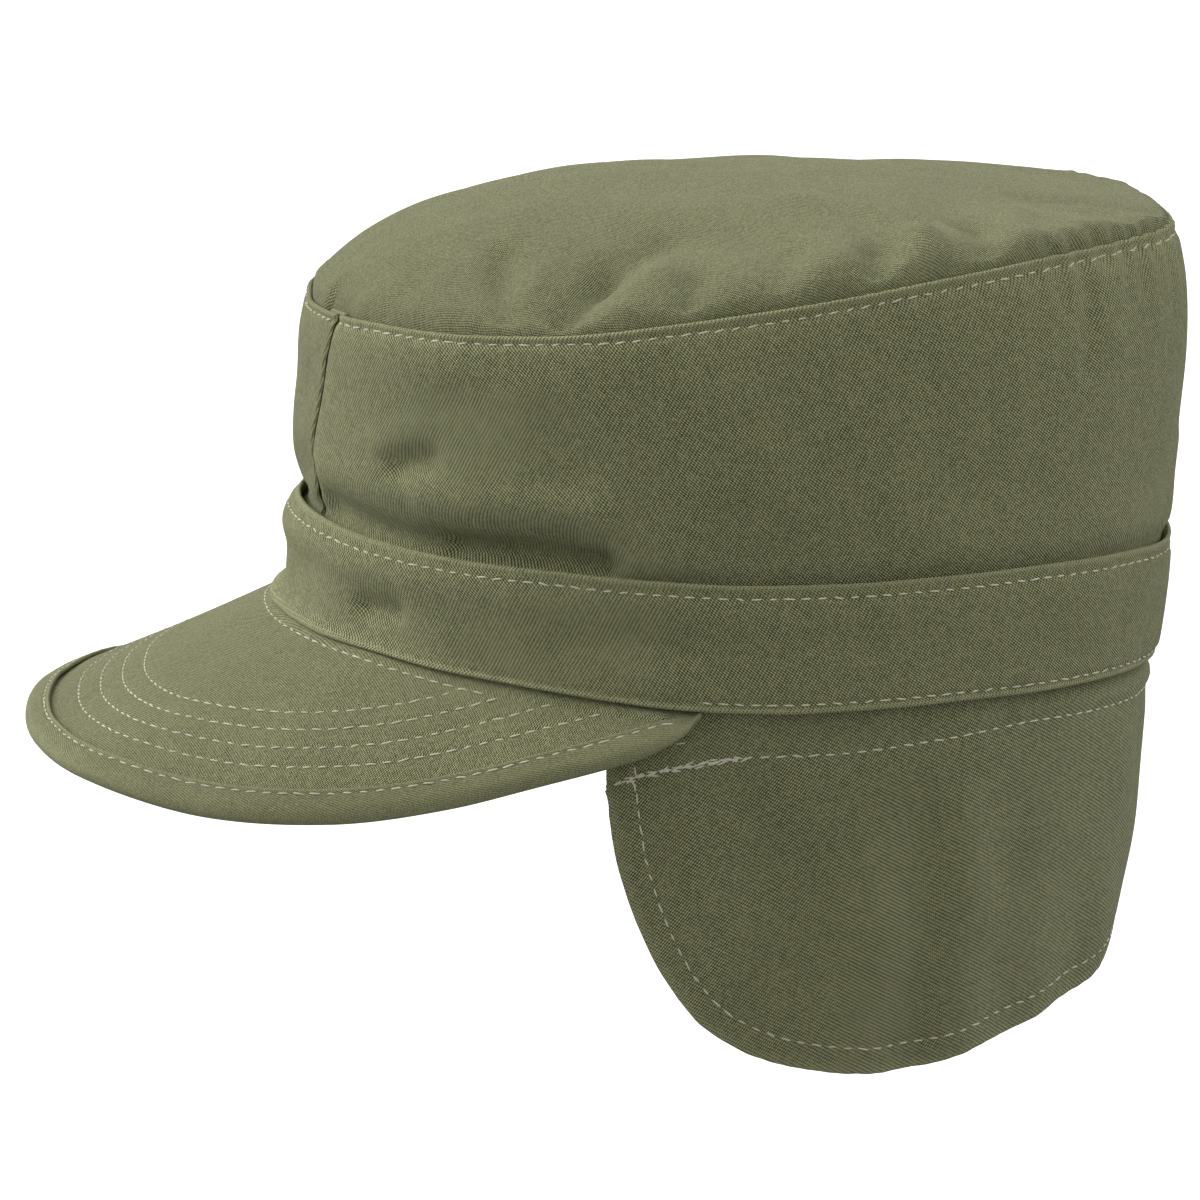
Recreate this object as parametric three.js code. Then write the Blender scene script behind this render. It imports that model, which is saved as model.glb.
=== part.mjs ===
import * as THREE from "three";

// Patrol cap with a fold-down ear and neck flap. Lengths are in millimetres and angles in degrees.
// Z is up, the visor points along -Y and the wearer's left side is +X.
// The origin is the middle of the head opening, level with the band's lower edge over the ears.
// Angles run round the head from the front centre, positive towards the wearer's left.

// Cloth
const CROWN_CLOTH = 1.4;
const BAND_CLOTH = 2.0;
const FLAP_CLOTH = 1.6;
const BINDING_CLOTH = 1.0;
const GAP = 0.3;
const EDGE_ROUND = 0.45;

// Crown
const CREST_HEIGHT = 110.1;
const TOP_ROUND = { front: 2.67, side: 2.05, back: 1.35 };
const TOP_STEEP = { ends: 0.67, side: 0.76 };
const TOP_HEM_SHARE = 0.92;
const TOP_SHARES = [0.22, 0.42, 0.6, 0.75, 0.86, 0.94, 0.98, 1.0];
const TOP_EDGE_POWER = 6;
const TOP_VALLEY_FADE = 0.08;
const TOP_FRONT_ANGLES = [0, 5, 10];
const TOP_PLEAT_ANGLES = [15.4, 16.6, 20, 23, 25.5, 28];
const TOP_BACK_START = 34;
const TOP_BACK_SECTIONS = 43;
const CROWN_SHARES = [-0.14, 0, 0.06, 0.14, 0.24, 0.4, 0.58, 0.76, 0.92];
const CROWN_SIDE_SECTIONS = 57;
const CROWN_FRONT_SECTIONS = 13;
const PLEAT_ANGLE_TOP = 22.0;
const PLEAT_ANGLE_FOOT = 15.0;
const PLEAT_UNDERLAP = 5.0;
const PLEAT_RUN_OUT = 4.5;
const PLEAT_MARGIN = { wall: 0.3, top_ahead: 0.5, top_behind: 1.0 };

// Band
const BAND_SHARES = [0.05, 0.14, 0.28, 0.5, 0.75, 0.95];
const BAND_SECTIONS = 60;

// Visor
const VISOR_END_ANGLE = 82.0;
const VISOR_SECTIONS = 41;
const VISOR_THICKNESS = 3.2;
const VISOR_END_THICKNESS = 2.2;
const VISOR_TAPER_START = 60;
const VISOR_ROOT_INSET = 1.9;
const VISOR_SHARES = [1, 0.75, 0.5, 0.25, 0];

// Binding: its two legs lie on the visor and its fold curves round the edge
const BINDING_WIDTH = 6.3;
const BINDING_ROOT_MARGIN = 3.4;
const BINDING_CURVE = { outer: 1.3, inner: 1.6 };
const OUTER_SHOULDER = { inward: 0.2, deep: 0.35 };
const INNER_SHOULDER = { inward: 0.05, deep: 0.1 };
const BINDING_HEM = { inward: 0.5, deep: 0.2 };

// Flap
const FLAP_TUCK = 8.0;
const FLAP_FULL_DROP = 86.0;
const FLAP_DROPS = [0, 4, 8, 14, 26, 40, 55, 70, 82];
const FLAP_CORNER_ANGLES = [67.4, 68.0, 68.8, 69.8, 71.2, 73.0, 75.2, 78.0, 81.4, 85.2];
const FLAP_BACK_START = 90;
const FLAP_BACK_SECTIONS = 33;

const COLOURS = {
  crown_top: 0x7d7f64,
  crown_front: 0x74765b,
  crown_side: 0x6f7157,
  band: 0x6f7157,
  visor: 0x7b7d63,
  visor_binding: 0x74765b,
  flap: 0x6a6b52,
};

// Heights of the seams round the head, the same on both sides
const SEAMS = [
  { angle: 0, band_bottom: 10.8, band_top: 34.4, top_seam: 81.7 },
  { angle: 15, band_bottom: 10.6, band_top: 34.2, top_seam: 81.9 },
  { angle: 30, band_bottom: 9.8, band_top: 32.6, top_seam: 82.3 },
  { angle: 45, band_bottom: 7.4, band_top: 31.0, top_seam: 82.4 },
  { angle: 60, band_bottom: 4.0, band_top: 29.5, top_seam: 83.4 },
  { angle: 75, band_bottom: 0.5, band_top: 28.7, top_seam: 86.1 },
  { angle: 90, band_bottom: -1.3, band_top: 28.4, top_seam: 89.1 },
  { angle: 105, band_bottom: -1.3, band_top: 28.4, top_seam: 92.3 },
  { angle: 120, band_bottom: -1.0, band_top: 28.9, top_seam: 95.9 },
  { angle: 135, band_bottom: -1.4, band_top: 29.0, top_seam: 98.8 },
  { angle: 150, band_bottom: -2.3, band_top: 28.0, top_seam: 99.9 },
  { angle: 165, band_bottom: -3.8, band_top: 26.2, top_seam: 99.6 },
  { angle: 180, band_bottom: -5.0, band_top: 25.2, top_seam: 98.8 },
];

// Outside of the crown wall, from the band (share 0) up to the top seam (share 1)
const CROWN_RINGS = [
  { share: -0.2, side: 81.4, front: 101.8, back: 101.9, front_power: 2.1, back_power: 2.2 },
  { share: 0.0, side: 81.6, front: 102.1, back: 102.3, front_power: 2.1, back_power: 2.2 },
  { share: 0.06, side: 82.9, front: 101.9, back: 104.3, front_power: 2.1, back_power: 2.2 },
  { share: 0.2, side: 84.0, front: 102.5, back: 105.0, front_power: 2.1, back_power: 2.2 },
  { share: 0.4, side: 84.8, front: 102.4, back: 106.3, front_power: 2.15, back_power: 2.2 },
  { share: 0.6, side: 84.8, front: 101.2, back: 107.2, front_power: 2.2, back_power: 2.25 },
  { share: 0.8, side: 84.0, front: 100.6, back: 106.7, front_power: 2.25, back_power: 2.3 },
  { share: 0.93, side: 82.8, front: 99.4, back: 105.0, front_power: 2.3, back_power: 2.3 },
  { share: 1.0, side: 81.6, front: 98.3, back: 102.9, front_power: 2.3, back_power: 2.3 },
];

// Outside of the band, from its lower edge (share 0) to its upper edge (share 1)
const BAND_RINGS = [
  { share: 0.0, side: 83.8, front: 107.8, back: 101.0, front_power: 2.1, back_power: 2.1 },
  { share: 0.06, side: 84.1, front: 106.2, back: 102.0, front_power: 2.1, back_power: 2.1 },
  { share: 0.14, side: 84.2, front: 105.0, back: 102.9, front_power: 2.1, back_power: 2.1 },
  { share: 0.28, side: 84.3, front: 104.1, back: 103.6, front_power: 2.1, back_power: 2.1 },
  { share: 0.5, side: 84.3, front: 103.9, back: 104.2, front_power: 2.1, back_power: 2.15 },
  { share: 0.72, side: 84.6, front: 104.9, back: 104.6, front_power: 2.1, back_power: 2.2 },
  { share: 0.9, side: 84.4, front: 104.6, back: 104.8, front_power: 2.1, back_power: 2.2 },
  { share: 1.0, side: 84.1, front: 103.9, back: 104.6, front_power: 2.1, back_power: 2.2 },
];

// Outside of the flap, by distance below the band's lower edge
const FLAP_RINGS = [
  { drop: -12, side: 81.2, front: 101.4, back: 98.0, front_power: 2.1, back_power: 2.1 },
  { drop: 0, side: 81.3, front: 105.0, back: 98.4, front_power: 2.1, back_power: 2.1 },
  { drop: 4, side: 81.4, front: 105.4, back: 100.8, front_power: 2.1, back_power: 2.1 },
  { drop: 8, side: 81.5, front: 105.6, back: 99.9, front_power: 2.1, back_power: 2.1 },
  { drop: 14, side: 81.9, front: 105.8, back: 100.0, front_power: 2.1, back_power: 2.1 },
  { drop: 30, side: 82.4, front: 106.0, back: 98.8, front_power: 2.1, back_power: 2.1 },
  { drop: 50, side: 82.3, front: 106.0, back: 96.7, front_power: 2.1, back_power: 2.1 },
  { drop: 64, side: 81.8, front: 106.0, back: 94.2, front_power: 2.1, back_power: 2.1 },
  { drop: 76, side: 81.2, front: 106.0, back: 90.9, front_power: 2.1, back_power: 2.1 },
  { drop: 90, side: 80.4, front: 106.0, back: 87.0, front_power: 2.1, back_power: 2.1 },
];

// Lower edge of the flap: a quarter-round front corner, then level round the back
const FLAP_EDGE = [
  { angle: 67.4, height: -20.0 },
  { angle: 68.4, height: -29.0 },
  { angle: 69.2, height: -36.0 },
  { angle: 70.5, height: -43.0 },
  { angle: 72.1, height: -50.0 },
  { angle: 74.1, height: -57.0 },
  { angle: 76.4, height: -63.4 },
  { angle: 79.0, height: -69.0 },
  { angle: 82.0, height: -74.0 },
  { angle: 85.2, height: -77.6 },
  { angle: 90.0, height: -81.4 },
  { angle: 96.0, height: -84.4 },
  { angle: 103.0, height: -86.4 },
  { angle: 111.0, height: -87.2 },
  { angle: 120.0, height: -86.9 },
  { angle: 130.0, height: -84.3 },
  { angle: 140.0, height: -81.5 },
  { angle: 152.0, height: -79.6 },
  { angle: 165.0, height: -79.2 },
  { angle: 180.0, height: -79.2 },
];

// Outer edge of the visor: distance from the axis, height of the top face, and how far the
// middle of the visor lies below a straight line from the band to the edge
const VISOR_EDGE = [
  { angle: 0, reach: 165.9, height: -17.1, sag: 2.2 },
  { angle: 10, reach: 165.2, height: -17.9, sag: 1.5 },
  { angle: 20, reach: 158.9, height: -19.6, sag: 0.0 },
  { angle: 30, reach: 144.2, height: -24.0, sag: -1.0 },
  { angle: 40, reach: 125.4, height: -24.2, sag: -0.8 },
  { angle: 50, reach: 109.4, height: -20.8, sag: -0.3 },
  { angle: 60, reach: 100.4, height: -15.3, sag: 0.1 },
  { angle: 70, reach: 95.0, height: -9.9, sag: 0.2 },
  { angle: 76, reach: 91.6, height: -6.6, sag: 0.1 },
  { angle: 82, reach: 88.0, height: -3.0, sag: 0.0 },
];

// Dents (positive depth) and bulges (negative depth) of the crown wall
const CROWN_DENTS = [
  { angle: 52, share: 0.11, depth: 2.0, half_angle: 13, half_share: 0.09 },
  { angle: 29, share: 0.14, depth: 1.6, half_angle: 7, half_share: 0.08 },
  { angle: 37, share: 0.36, depth: 0.9, half_angle: 5, half_share: 0.08 },
  { angle: 66, share: 0.85, depth: -0.9, half_angle: 6, half_share: 0.25 },
  { angle: 140, share: 0.9, depth: 0.8, half_angle: 3, half_share: 0.12 },
  { angle: 161, share: 0.12, depth: 1.1, half_angle: 6, half_share: 0.1 },
  { angle: 96, share: 0.12, depth: 0.9, half_angle: 14, half_share: 0.08 },
  { angle: -48, share: 0.12, depth: 1.6, half_angle: 12, half_share: 0.09 },
  { angle: -110, share: 0.14, depth: 1.1, half_angle: 14, half_share: 0.09 },
  { angle: -150, share: 0.85, depth: 0.8, half_angle: 5, half_share: 0.14 },
];

// Dents of the band
const BAND_DENTS = [
  { angle: 32, share: 0.55, depth: 0.7, half_angle: 5, half_share: 0.3 },
  { angle: 66, share: 0.5, depth: 0.8, half_angle: 11, half_share: 0.3 },
  { angle: -60, share: 0.5, depth: 0.7, half_angle: 12, half_share: 0.3 },
];

// Folds of the hanging flap, by height instead of share
const FLAP_DENTS = [
  { angle: 91, height: -30, depth: 1.4, half_angle: 7, half_height: 14 },
  { angle: 117, height: -62, depth: 1.6, half_angle: 5, half_height: 30 },
  { angle: 125, height: -60, depth: -1.2, half_angle: 5, half_height: 30 },
  { angle: 147, height: -70, depth: 1.3, half_angle: 6, half_height: 18 },
  { angle: -98, height: -55, depth: 1.4, half_angle: 7, half_height: 28 },
  { angle: -110, height: -60, depth: -1.2, half_angle: 6, half_height: 26 },
  { angle: -140, height: -60, depth: 1.3, half_angle: 7, half_height: 24 },
];

// Valleys of the soft top, each along a line seen from above
const TOP_VALLEYS = [
  { x0: 75, y0: -44, x1: 62, y1: -24, depth: 2.6, half_width: 7 },
  { x0: 62, y0: -58, x1: 48, y1: -60, depth: 1.2, half_width: 8 },
  { x0: 77, y0: 19, x1: 70, y1: 27, depth: 2.4, half_width: 8 },
  { x0: 74, y0: 38, x1: 58, y1: 54, depth: 2.0, half_width: 7 },
  { x0: 68, y0: 60, x1: 34, y1: 92, depth: 1.8, half_width: 6 },
  { x0: 54, y0: -78, x1: 46, y1: -76, depth: 1.3, half_width: 6 },
  { x0: -74, y0: -36, x1: -60, y1: -26, depth: 2.0, half_width: 8 },
  { x0: -76, y0: 26, x1: -62, y1: 44, depth: 1.8, half_width: 8 },
];

const radians = (angle) => (angle * Math.PI) / 180;
const mix = (a, b, share) => a + (b - a) * share;
const clamp = (value) => Math.min(1, Math.max(0, value));

// A column of a table at any place along its key, as a smooth curve through the rows
function column(table, key, name, at) {
  const last = table.length - 1;
  const spot = Math.min(table[last][key], Math.max(table[0][key], at));
  let row = 0;
  while (row < last - 1 && spot > table[row + 1][key]) {
    row += 1;
  }
  const slope = (index) => {
    if (index === 0 || index === last) return 0;
    const before = table[index - 1];
    const after = table[index + 1];
    return (after[name] - before[name]) / (after[key] - before[key]);
  };
  const span = table[row + 1][key] - table[row][key];
  const t = (spot - table[row][key]) / span;
  const rise = 3 * t * t - 2 * t * t * t;
  return (
    mix(table[row][name], table[row + 1][name], rise) +
    slope(row) * span * (t - 2 * t * t + t * t * t) +
    slope(row + 1) * span * (t * t * t - t * t)
  );
}

// Angles past the back centre come round to the other side
const signed = (angle) => ((((angle + 180) % 360) + 360) % 360) - 180;
const folded = (angle) => Math.abs(signed(angle));

const seamHeight = (name, angle) => column(SEAMS, "angle", name, folded(angle));

// Distance from the axis to an oval whose front and back have their own length and squareness
function ovalReach(table, key, at, angle) {
  const front = Math.cos(radians(angle)) > 0;
  const length = column(table, key, front ? "front" : "back", at);
  const power = column(table, key, front ? "front_power" : "back_power", at);
  const side = column(table, key, "side", at);
  const along = (Math.abs(Math.cos(radians(angle))) / length) ** power;
  const across = (Math.abs(Math.sin(radians(angle))) / side) ** power;
  return (along + across) ** (-1 / power);
}

// Sum of the dents at one spot
function dentDepth(dents, key, half, angle, at) {
  return dents.reduce((sum, dent) => {
    const turn = signed(angle - dent.angle) / dent.half_angle;
    const step = (at - dent[key]) / dent[half];
    return sum + dent.depth * Math.exp(-turn * turn - step * step);
  }, 0);
}

function crownReach(angle, share) {
  return (
    ovalReach(CROWN_RINGS, "share", share, angle) -
    dentDepth(CROWN_DENTS, "share", "half_share", angle, share)
  );
}

function crownHeight(angle, share) {
  return mix(seamHeight("band_top", angle), seamHeight("top_seam", angle), share);
}

function bandReach(angle, share) {
  return (
    ovalReach(BAND_RINGS, "share", share, angle) -
    dentDepth(BAND_DENTS, "share", "half_share", angle, share)
  );
}

function bandHeight(angle, share) {
  return mix(seamHeight("band_bottom", angle), seamHeight("band_top", angle), share);
}

function flapReach(angle, height) {
  const drop = seamHeight("band_bottom", angle) - height;
  return (
    ovalReach(FLAP_RINGS, "drop", drop, angle) -
    dentDepth(FLAP_DENTS, "height", "half_height", angle, height)
  );
}

const pleatAngle = (share) => mix(PLEAT_ANGLE_FOOT, PLEAT_ANGLE_TOP, share);

// A point from its angle round the head, distance from the axis and height
function place(angle, reach, height) {
  const turn = radians(angle);
  return [reach * Math.sin(turn), -reach * Math.cos(turn), height];
}

// One closed body from cross-sections, each a line of outer points and a line of inner points.
// A wrapped body joins its last section to its first; any other is capped at both ends.
function shell(name, sections, wrapped) {
  const count = sections[0].outer.length;
  const loops = sections.map(({ outer, inner }) => [...outer, ...[...inner].reverse()]);
  const points = loops.flat();
  const round = 2 * count;
  const faces = [];
  const same = (a, b) => a.every((value, axis) => Math.abs(value - b[axis]) < 1e-6);
  const face = (a, b, c) => {
    const [p, q, r] = [points[a], points[b], points[c]];
    if (!same(p, q) && !same(q, r) && !same(r, p)) faces.push([a, b, c]);
  };
  const joins = wrapped ? loops.length : loops.length - 1;
  for (let j = 0; j < joins; j += 1) {
    const here = j * round;
    const next = ((j + 1) % loops.length) * round;
    for (let k = 0; k < round; k += 1) {
      const l = (k + 1) % round;
      face(here + k, next + k, next + l);
      face(here + k, next + l, here + l);
    }
  }
  if (!wrapped) {
    const end = (loops.length - 1) * round;
    for (let k = 0; k < count - 1; k += 1) {
      const m = round - 1 - k;
      face(k, k + 1, m - 1);
      face(k, m - 1, m);
      face(end + k, end + m - 1, end + k + 1);
      face(end + k, end + m, end + m - 1);
    }
  }
  const volume = faces.reduce((sum, [a, b, c]) => {
    const [p, q, r] = [points[a], points[b], points[c]];
    const cross = [
      q[1] * r[2] - q[2] * r[1],
      q[2] * r[0] - q[0] * r[2],
      q[0] * r[1] - q[1] * r[0],
    ];
    return sum + p[0] * cross[0] + p[1] * cross[1] + p[2] * cross[2];
  }, 0);
  const outward = volume > 0 ? faces : faces.map(([a, b, c]) => [a, c, b]);
  const geometry = new THREE.BufferGeometry();
  geometry.setAttribute("position", new THREE.Float32BufferAttribute(points.flat(), 3));
  geometry.setIndex(outward.flat());
  geometry.computeVertexNormals();
  const material = new THREE.MeshStandardMaterial({ color: COLOURS[name], roughness: 0.9 });
  const mesh = new THREE.Mesh(geometry, material);
  mesh.name = name;
  return mesh;
}

// Evenly spaced angles; a wrapped run leaves out the last, which is the first again
function steps(from, to, count, wrapped) {
  const parts = wrapped ? count : count - 1;
  return Array.from({ length: count }, (_, index) => mix(from, to, index / parts));
}

// Side wall: from under the front panel's left fold round the back to its right fold
function crownSide() {
  const sections = steps(0, 1, CROWN_SIDE_SECTIONS, false).map((run) => {
    const outer = [];
    const inner = [];
    const add = (share, extra, thickness, raise) => {
      const start = pleatAngle(share) - PLEAT_UNDERLAP;
      const angle = mix(start, 360 - start, run);
      const past = folded(angle) - pleatAngle(share);
      const under = 1 - clamp((past - PLEAT_MARGIN.wall) / PLEAT_RUN_OUT);
      const inset = (CROWN_CLOTH + GAP) * under * under * (3 - 2 * under);
      const reach = crownReach(angle, share) - inset - extra;
      const height = crownHeight(angle, share) + raise;
      outer.push(place(angle, reach, height));
      inner.push(place(angle, reach - thickness, height));
    };
    CROWN_SHARES.forEach((share) => add(share, 0, CROWN_CLOTH, 0));
    add(1, 0, CROWN_CLOTH, -EDGE_ROUND);
    add(1, EDGE_ROUND, CROWN_CLOTH - 2 * EDGE_ROUND, 0);
    return { outer, inner };
  });
  return shell("crown_side", sections, false);
}

// Front panel: its folded ends lie over the side wall
function crownFront() {
  const sections = steps(-1, 1, CROWN_FRONT_SECTIONS, false).map((run) => {
    const outer = [];
    const inner = [];
    const add = (share, extra, thickness, raise) => {
      const angle = pleatAngle(share) * run;
      const reach = crownReach(angle, share) - extra;
      const height = crownHeight(angle, share) + raise;
      outer.push(place(angle, reach, height));
      inner.push(place(angle, reach - thickness, height));
    };
    CROWN_SHARES.forEach((share) => add(share, 0, CROWN_CLOTH, 0));
    add(1, 0, CROWN_CLOTH, -EDGE_ROUND);
    add(1, EDGE_ROUND, CROWN_CLOTH - 2 * EDGE_ROUND, 0);
    return { outer, inner };
  });
  return shell("crown_front", sections, false);
}

// How far the top lies inside the wall's outer face at the seam: more where the pleats fold
function topInset(angle) {
  const single = CROWN_CLOTH + GAP;
  const past = folded(angle) - PLEAT_ANGLE_TOP;
  const ahead = 1 - clamp(-past - PLEAT_UNDERLAP - PLEAT_MARGIN.top_ahead);
  const behind = 1 - clamp((past - PLEAT_MARGIN.top_behind) / PLEAT_RUN_OUT);
  return single + (single + GAP / 2) * Math.min(ahead, behind);
}

// Height of the domed top at a share of the way from the crest (0) to the seam (1)
function topHeight(angle, share) {
  const ahead = (1 + Math.cos(radians(angle))) / 2;
  const beside = Math.sin(radians(angle)) ** 2;
  const roundness = mix(mix(TOP_ROUND.back, TOP_ROUND.front, ahead), TOP_ROUND.side, beside);
  const steepness = mix(TOP_STEEP.ends, TOP_STEEP.side, beside);
  const seam = seamHeight("top_seam", angle);
  return seam + (CREST_HEIGHT - seam) * (1 - share ** roundness) ** steepness;
}

// Depth of the valleys at a spot seen from above
function valleyDepth(x, y) {
  return TOP_VALLEYS.reduce((sum, valley) => {
    const along = [valley.x1 - valley.x0, valley.y1 - valley.y0];
    const length = along[0] ** 2 + along[1] ** 2;
    const run = clamp(((x - valley.x0) * along[0] + (y - valley.y0) * along[1]) / length);
    const dx = x - valley.x0 - run * along[0];
    const dy = y - valley.y0 - run * along[1];
    const off = (dx * dx + dy * dy) / valley.half_width ** 2;
    return sum + valley.depth * Math.exp(-off);
  }, 0);
}

// Domed top with its edge turned down inside the walls
function crownTop() {
  const near = [...TOP_FRONT_ANGLES, ...TOP_PLEAT_ANGLES];
  const behind = steps(TOP_BACK_START, 360 - TOP_BACK_START, TOP_BACK_SECTIONS, false);
  const far = near.slice(1).map((angle) => 360 - angle).reverse();
  const sections = [...near, ...behind, ...far].map((angle) => {
    const rim = crownReach(angle, 1) - topInset(angle);
    const hem = Math.min(rim, crownReach(angle, TOP_HEM_SHARE) - topInset(angle));
    const outer = [[0, 0, CREST_HEIGHT]];
    const inner = [[0, 0, CREST_HEIGHT - CROWN_CLOTH]];
    TOP_SHARES.forEach((share) => {
      const reach = rim * share;
      const [x, y] = place(angle, reach, 0);
      const fade = clamp((1 - share) / TOP_VALLEY_FADE);
      const height = topHeight(angle, share) - valleyDepth(x, y) * fade;
      const turned = share ** TOP_EDGE_POWER;
      const inside = reach - CROWN_CLOTH * turned;
      const below = CROWN_CLOTH * (1 - turned);
      outer.push(place(angle, reach, height));
      inner.push(place(angle, inside, height - below));
    });
    const below = crownHeight(angle, TOP_HEM_SHARE);
    outer.push(place(angle, hem, below));
    inner.push(place(angle, hem - CROWN_CLOTH, below));
    return { outer, inner };
  });
  return shell("crown_top", sections, true);
}

// Band: a separate turned strip over the foot of the crown
function band() {
  const sections = steps(0, 360, BAND_SECTIONS, true).map((angle) => {
    const outer = [];
    const inner = [];
    const add = (share, extra) => {
      const reach = bandReach(angle, share);
      const height = bandHeight(angle, share);
      outer.push(place(angle, reach - extra, height));
      inner.push(place(angle, reach - BAND_CLOTH + extra, height));
    };
    add(0, EDGE_ROUND);
    BAND_SHARES.forEach((share) => add(share, 0));
    add(1, EDGE_ROUND);
    return { outer, inner };
  });
  return shell("band", sections, true);
}

// Ear and neck flap: hangs from inside the band, open across the face
function flap() {
  const middle = steps(FLAP_BACK_START, 360 - FLAP_BACK_START, FLAP_BACK_SECTIONS, false);
  const far = FLAP_CORNER_ANGLES.map((angle) => 360 - angle).reverse();
  const sections = [...FLAP_CORNER_ANGLES, ...middle, ...far].map((angle) => {
    const top = seamHeight("band_bottom", angle);
    const low = column(FLAP_EDGE, "angle", "height", folded(angle));
    const scale = (top - low) / FLAP_FULL_DROP;
    const outer = [];
    const inner = [];
    const add = (height, extra) => {
      const reach = flapReach(angle, height);
      outer.push(place(angle, reach - extra, height));
      inner.push(place(angle, reach - FLAP_CLOTH + extra, height));
    };
    add(top + FLAP_TUCK, 0);
    FLAP_DROPS.forEach((drop) => add(top - drop * scale, 0));
    add(low, EDGE_ROUND);
    return { outer, inner };
  });
  return shell("flap", sections, false);
}

// Cross-section of the visor at one angle: a line on its top face by distance in from the edge
function visorLine(angle) {
  const at = Math.abs(angle);
  const rootReach = bandReach(angle, 0) - VISOR_ROOT_INSET;
  const rootHeight = seamHeight("band_bottom", angle) - GAP;
  const edgeReach = column(VISOR_EDGE, "angle", "reach", at);
  const edgeHeight = column(VISOR_EDGE, "angle", "height", at);
  const sag = column(VISOR_EDGE, "angle", "sag", at);
  const length = Math.hypot(edgeReach - rootReach, rootHeight - edgeHeight);
  const taper = clamp((at - VISOR_TAPER_START) / (VISOR_END_ANGLE - VISOR_TAPER_START));
  const thickness = mix(VISOR_THICKNESS, VISOR_END_THICKNESS, taper);
  const lean = Math.atan2(rootHeight - edgeHeight, edgeReach - rootReach);
  const spot = (inward, deep) => {
    const share = 1 - inward / length;
    const reach = mix(rootReach, edgeReach, share) - deep * Math.sin(lean) * clamp(3 * share);
    const bow = 4 * sag * share * (1 - share);
    const height = mix(rootHeight, edgeHeight, share) - bow - deep * Math.cos(lean);
    return place(angle, reach, height);
  };
  return { length, thickness, spot };
}

// Stiffened visor plate between the band and the binding
function visor() {
  const sections = steps(-VISOR_END_ANGLE, VISOR_END_ANGLE, VISOR_SECTIONS, false).map((angle) => {
    const { length, thickness, spot } = visorLine(angle);
    const nose = BINDING_CLOTH + GAP;
    const inwards = VISOR_SHARES.map((share) => mix(nose, length, share));
    const outer = inwards.map((inward) => spot(inward, 0));
    const inner = inwards.map((inward) => spot(inward, thickness));
    outer.push(spot(nose, EDGE_ROUND));
    inner.push(spot(nose, thickness - EDGE_ROUND));
    return { outer, inner };
  });
  return shell("visor", sections, false);
}

// Binding: one strip folded over the visor's outer edge
function visorBinding() {
  const sections = steps(-VISOR_END_ANGLE, VISOR_END_ANGLE, VISOR_SECTIONS, false).map((angle) => {
    const { length, thickness, spot } = visorLine(angle);
    const leg = Math.min(BINDING_WIDTH, length - BINDING_ROOT_MARGIN);
    const lift = BINDING_CLOTH + GAP;
    const low = thickness + lift;
    const outer = [
      spot(leg, -lift + BINDING_HEM.deep),
      spot(leg - BINDING_HEM.inward, -lift),
      spot(BINDING_CURVE.outer, -lift),
      spot(OUTER_SHOULDER.inward, OUTER_SHOULDER.deep - lift / 2),
      spot(0, thickness / 2),
      spot(OUTER_SHOULDER.inward, low - OUTER_SHOULDER.deep - lift / 2),
      spot(BINDING_CURVE.outer, low),
      spot(leg - BINDING_HEM.inward, low),
      spot(leg, low - BINDING_HEM.deep),
    ];
    const inner = [
      spot(leg, -GAP),
      spot(leg - BINDING_HEM.inward, -GAP),
      spot(BINDING_CURVE.inner, -GAP),
      spot(BINDING_CLOTH + INNER_SHOULDER.inward, INNER_SHOULDER.deep),
      spot(BINDING_CLOTH, thickness / 2),
      spot(BINDING_CLOTH + INNER_SHOULDER.inward, thickness - INNER_SHOULDER.deep),
      spot(BINDING_CURVE.inner, thickness + GAP),
      spot(leg - BINDING_HEM.inward, thickness + GAP),
      spot(leg, thickness + GAP),
    ];
    return { outer, inner };
  });
  return shell("visor_binding", sections, false);
}

const cap = new THREE.Group();
cap.name = "patrol_cap";
cap.add(crownTop());
cap.add(crownFront());
cap.add(crownSide());
cap.add(band());
cap.add(visor());
cap.add(visorBinding());
cap.add(flap());

export default cap;
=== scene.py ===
import math
from functools import partial

import bpy
import numpy as np
from mathutils import Matrix, Vector


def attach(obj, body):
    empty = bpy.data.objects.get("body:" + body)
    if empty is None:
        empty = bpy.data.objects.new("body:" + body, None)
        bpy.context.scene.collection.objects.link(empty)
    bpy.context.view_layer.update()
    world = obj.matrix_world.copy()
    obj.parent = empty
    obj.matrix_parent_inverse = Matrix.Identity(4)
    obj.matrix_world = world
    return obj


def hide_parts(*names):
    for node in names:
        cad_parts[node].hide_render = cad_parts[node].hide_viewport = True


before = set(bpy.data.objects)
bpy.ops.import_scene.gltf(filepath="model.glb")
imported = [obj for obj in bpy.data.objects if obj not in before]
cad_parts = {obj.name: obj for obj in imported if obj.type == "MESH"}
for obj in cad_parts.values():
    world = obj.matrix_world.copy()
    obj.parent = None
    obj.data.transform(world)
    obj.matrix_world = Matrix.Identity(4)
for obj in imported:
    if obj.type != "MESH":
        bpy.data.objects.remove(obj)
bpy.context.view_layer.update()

bl_info = {
    "name": "Patrol Cap",
    "version": (1, 0, 0),
    "blender": (4, 5, 0),
    "location": "3D View > Sidebar > Cap",
    "description": "Builds a cloth patrol cap with a fold-down ear and neck flap",
    "category": "Add Mesh",
}

# Lengths in the tables and functions are millimetres, and become metres when a mesh is made.
# Angles run round the head from the front centre, positive towards the wearer's left.
MM = 0.001
# Millimetres of cloth to one degree round the head
ARC = 1.46
# Room between one piece of cloth and the next
GAP = 0.3
# Cloth to a whole tile of the texture
UV_SPAN = 100


def rows(columns, *values):
    """A table as a list of rows with named columns."""
    names = columns.split()
    return [dict(zip(names, row)) for row in values]


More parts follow.
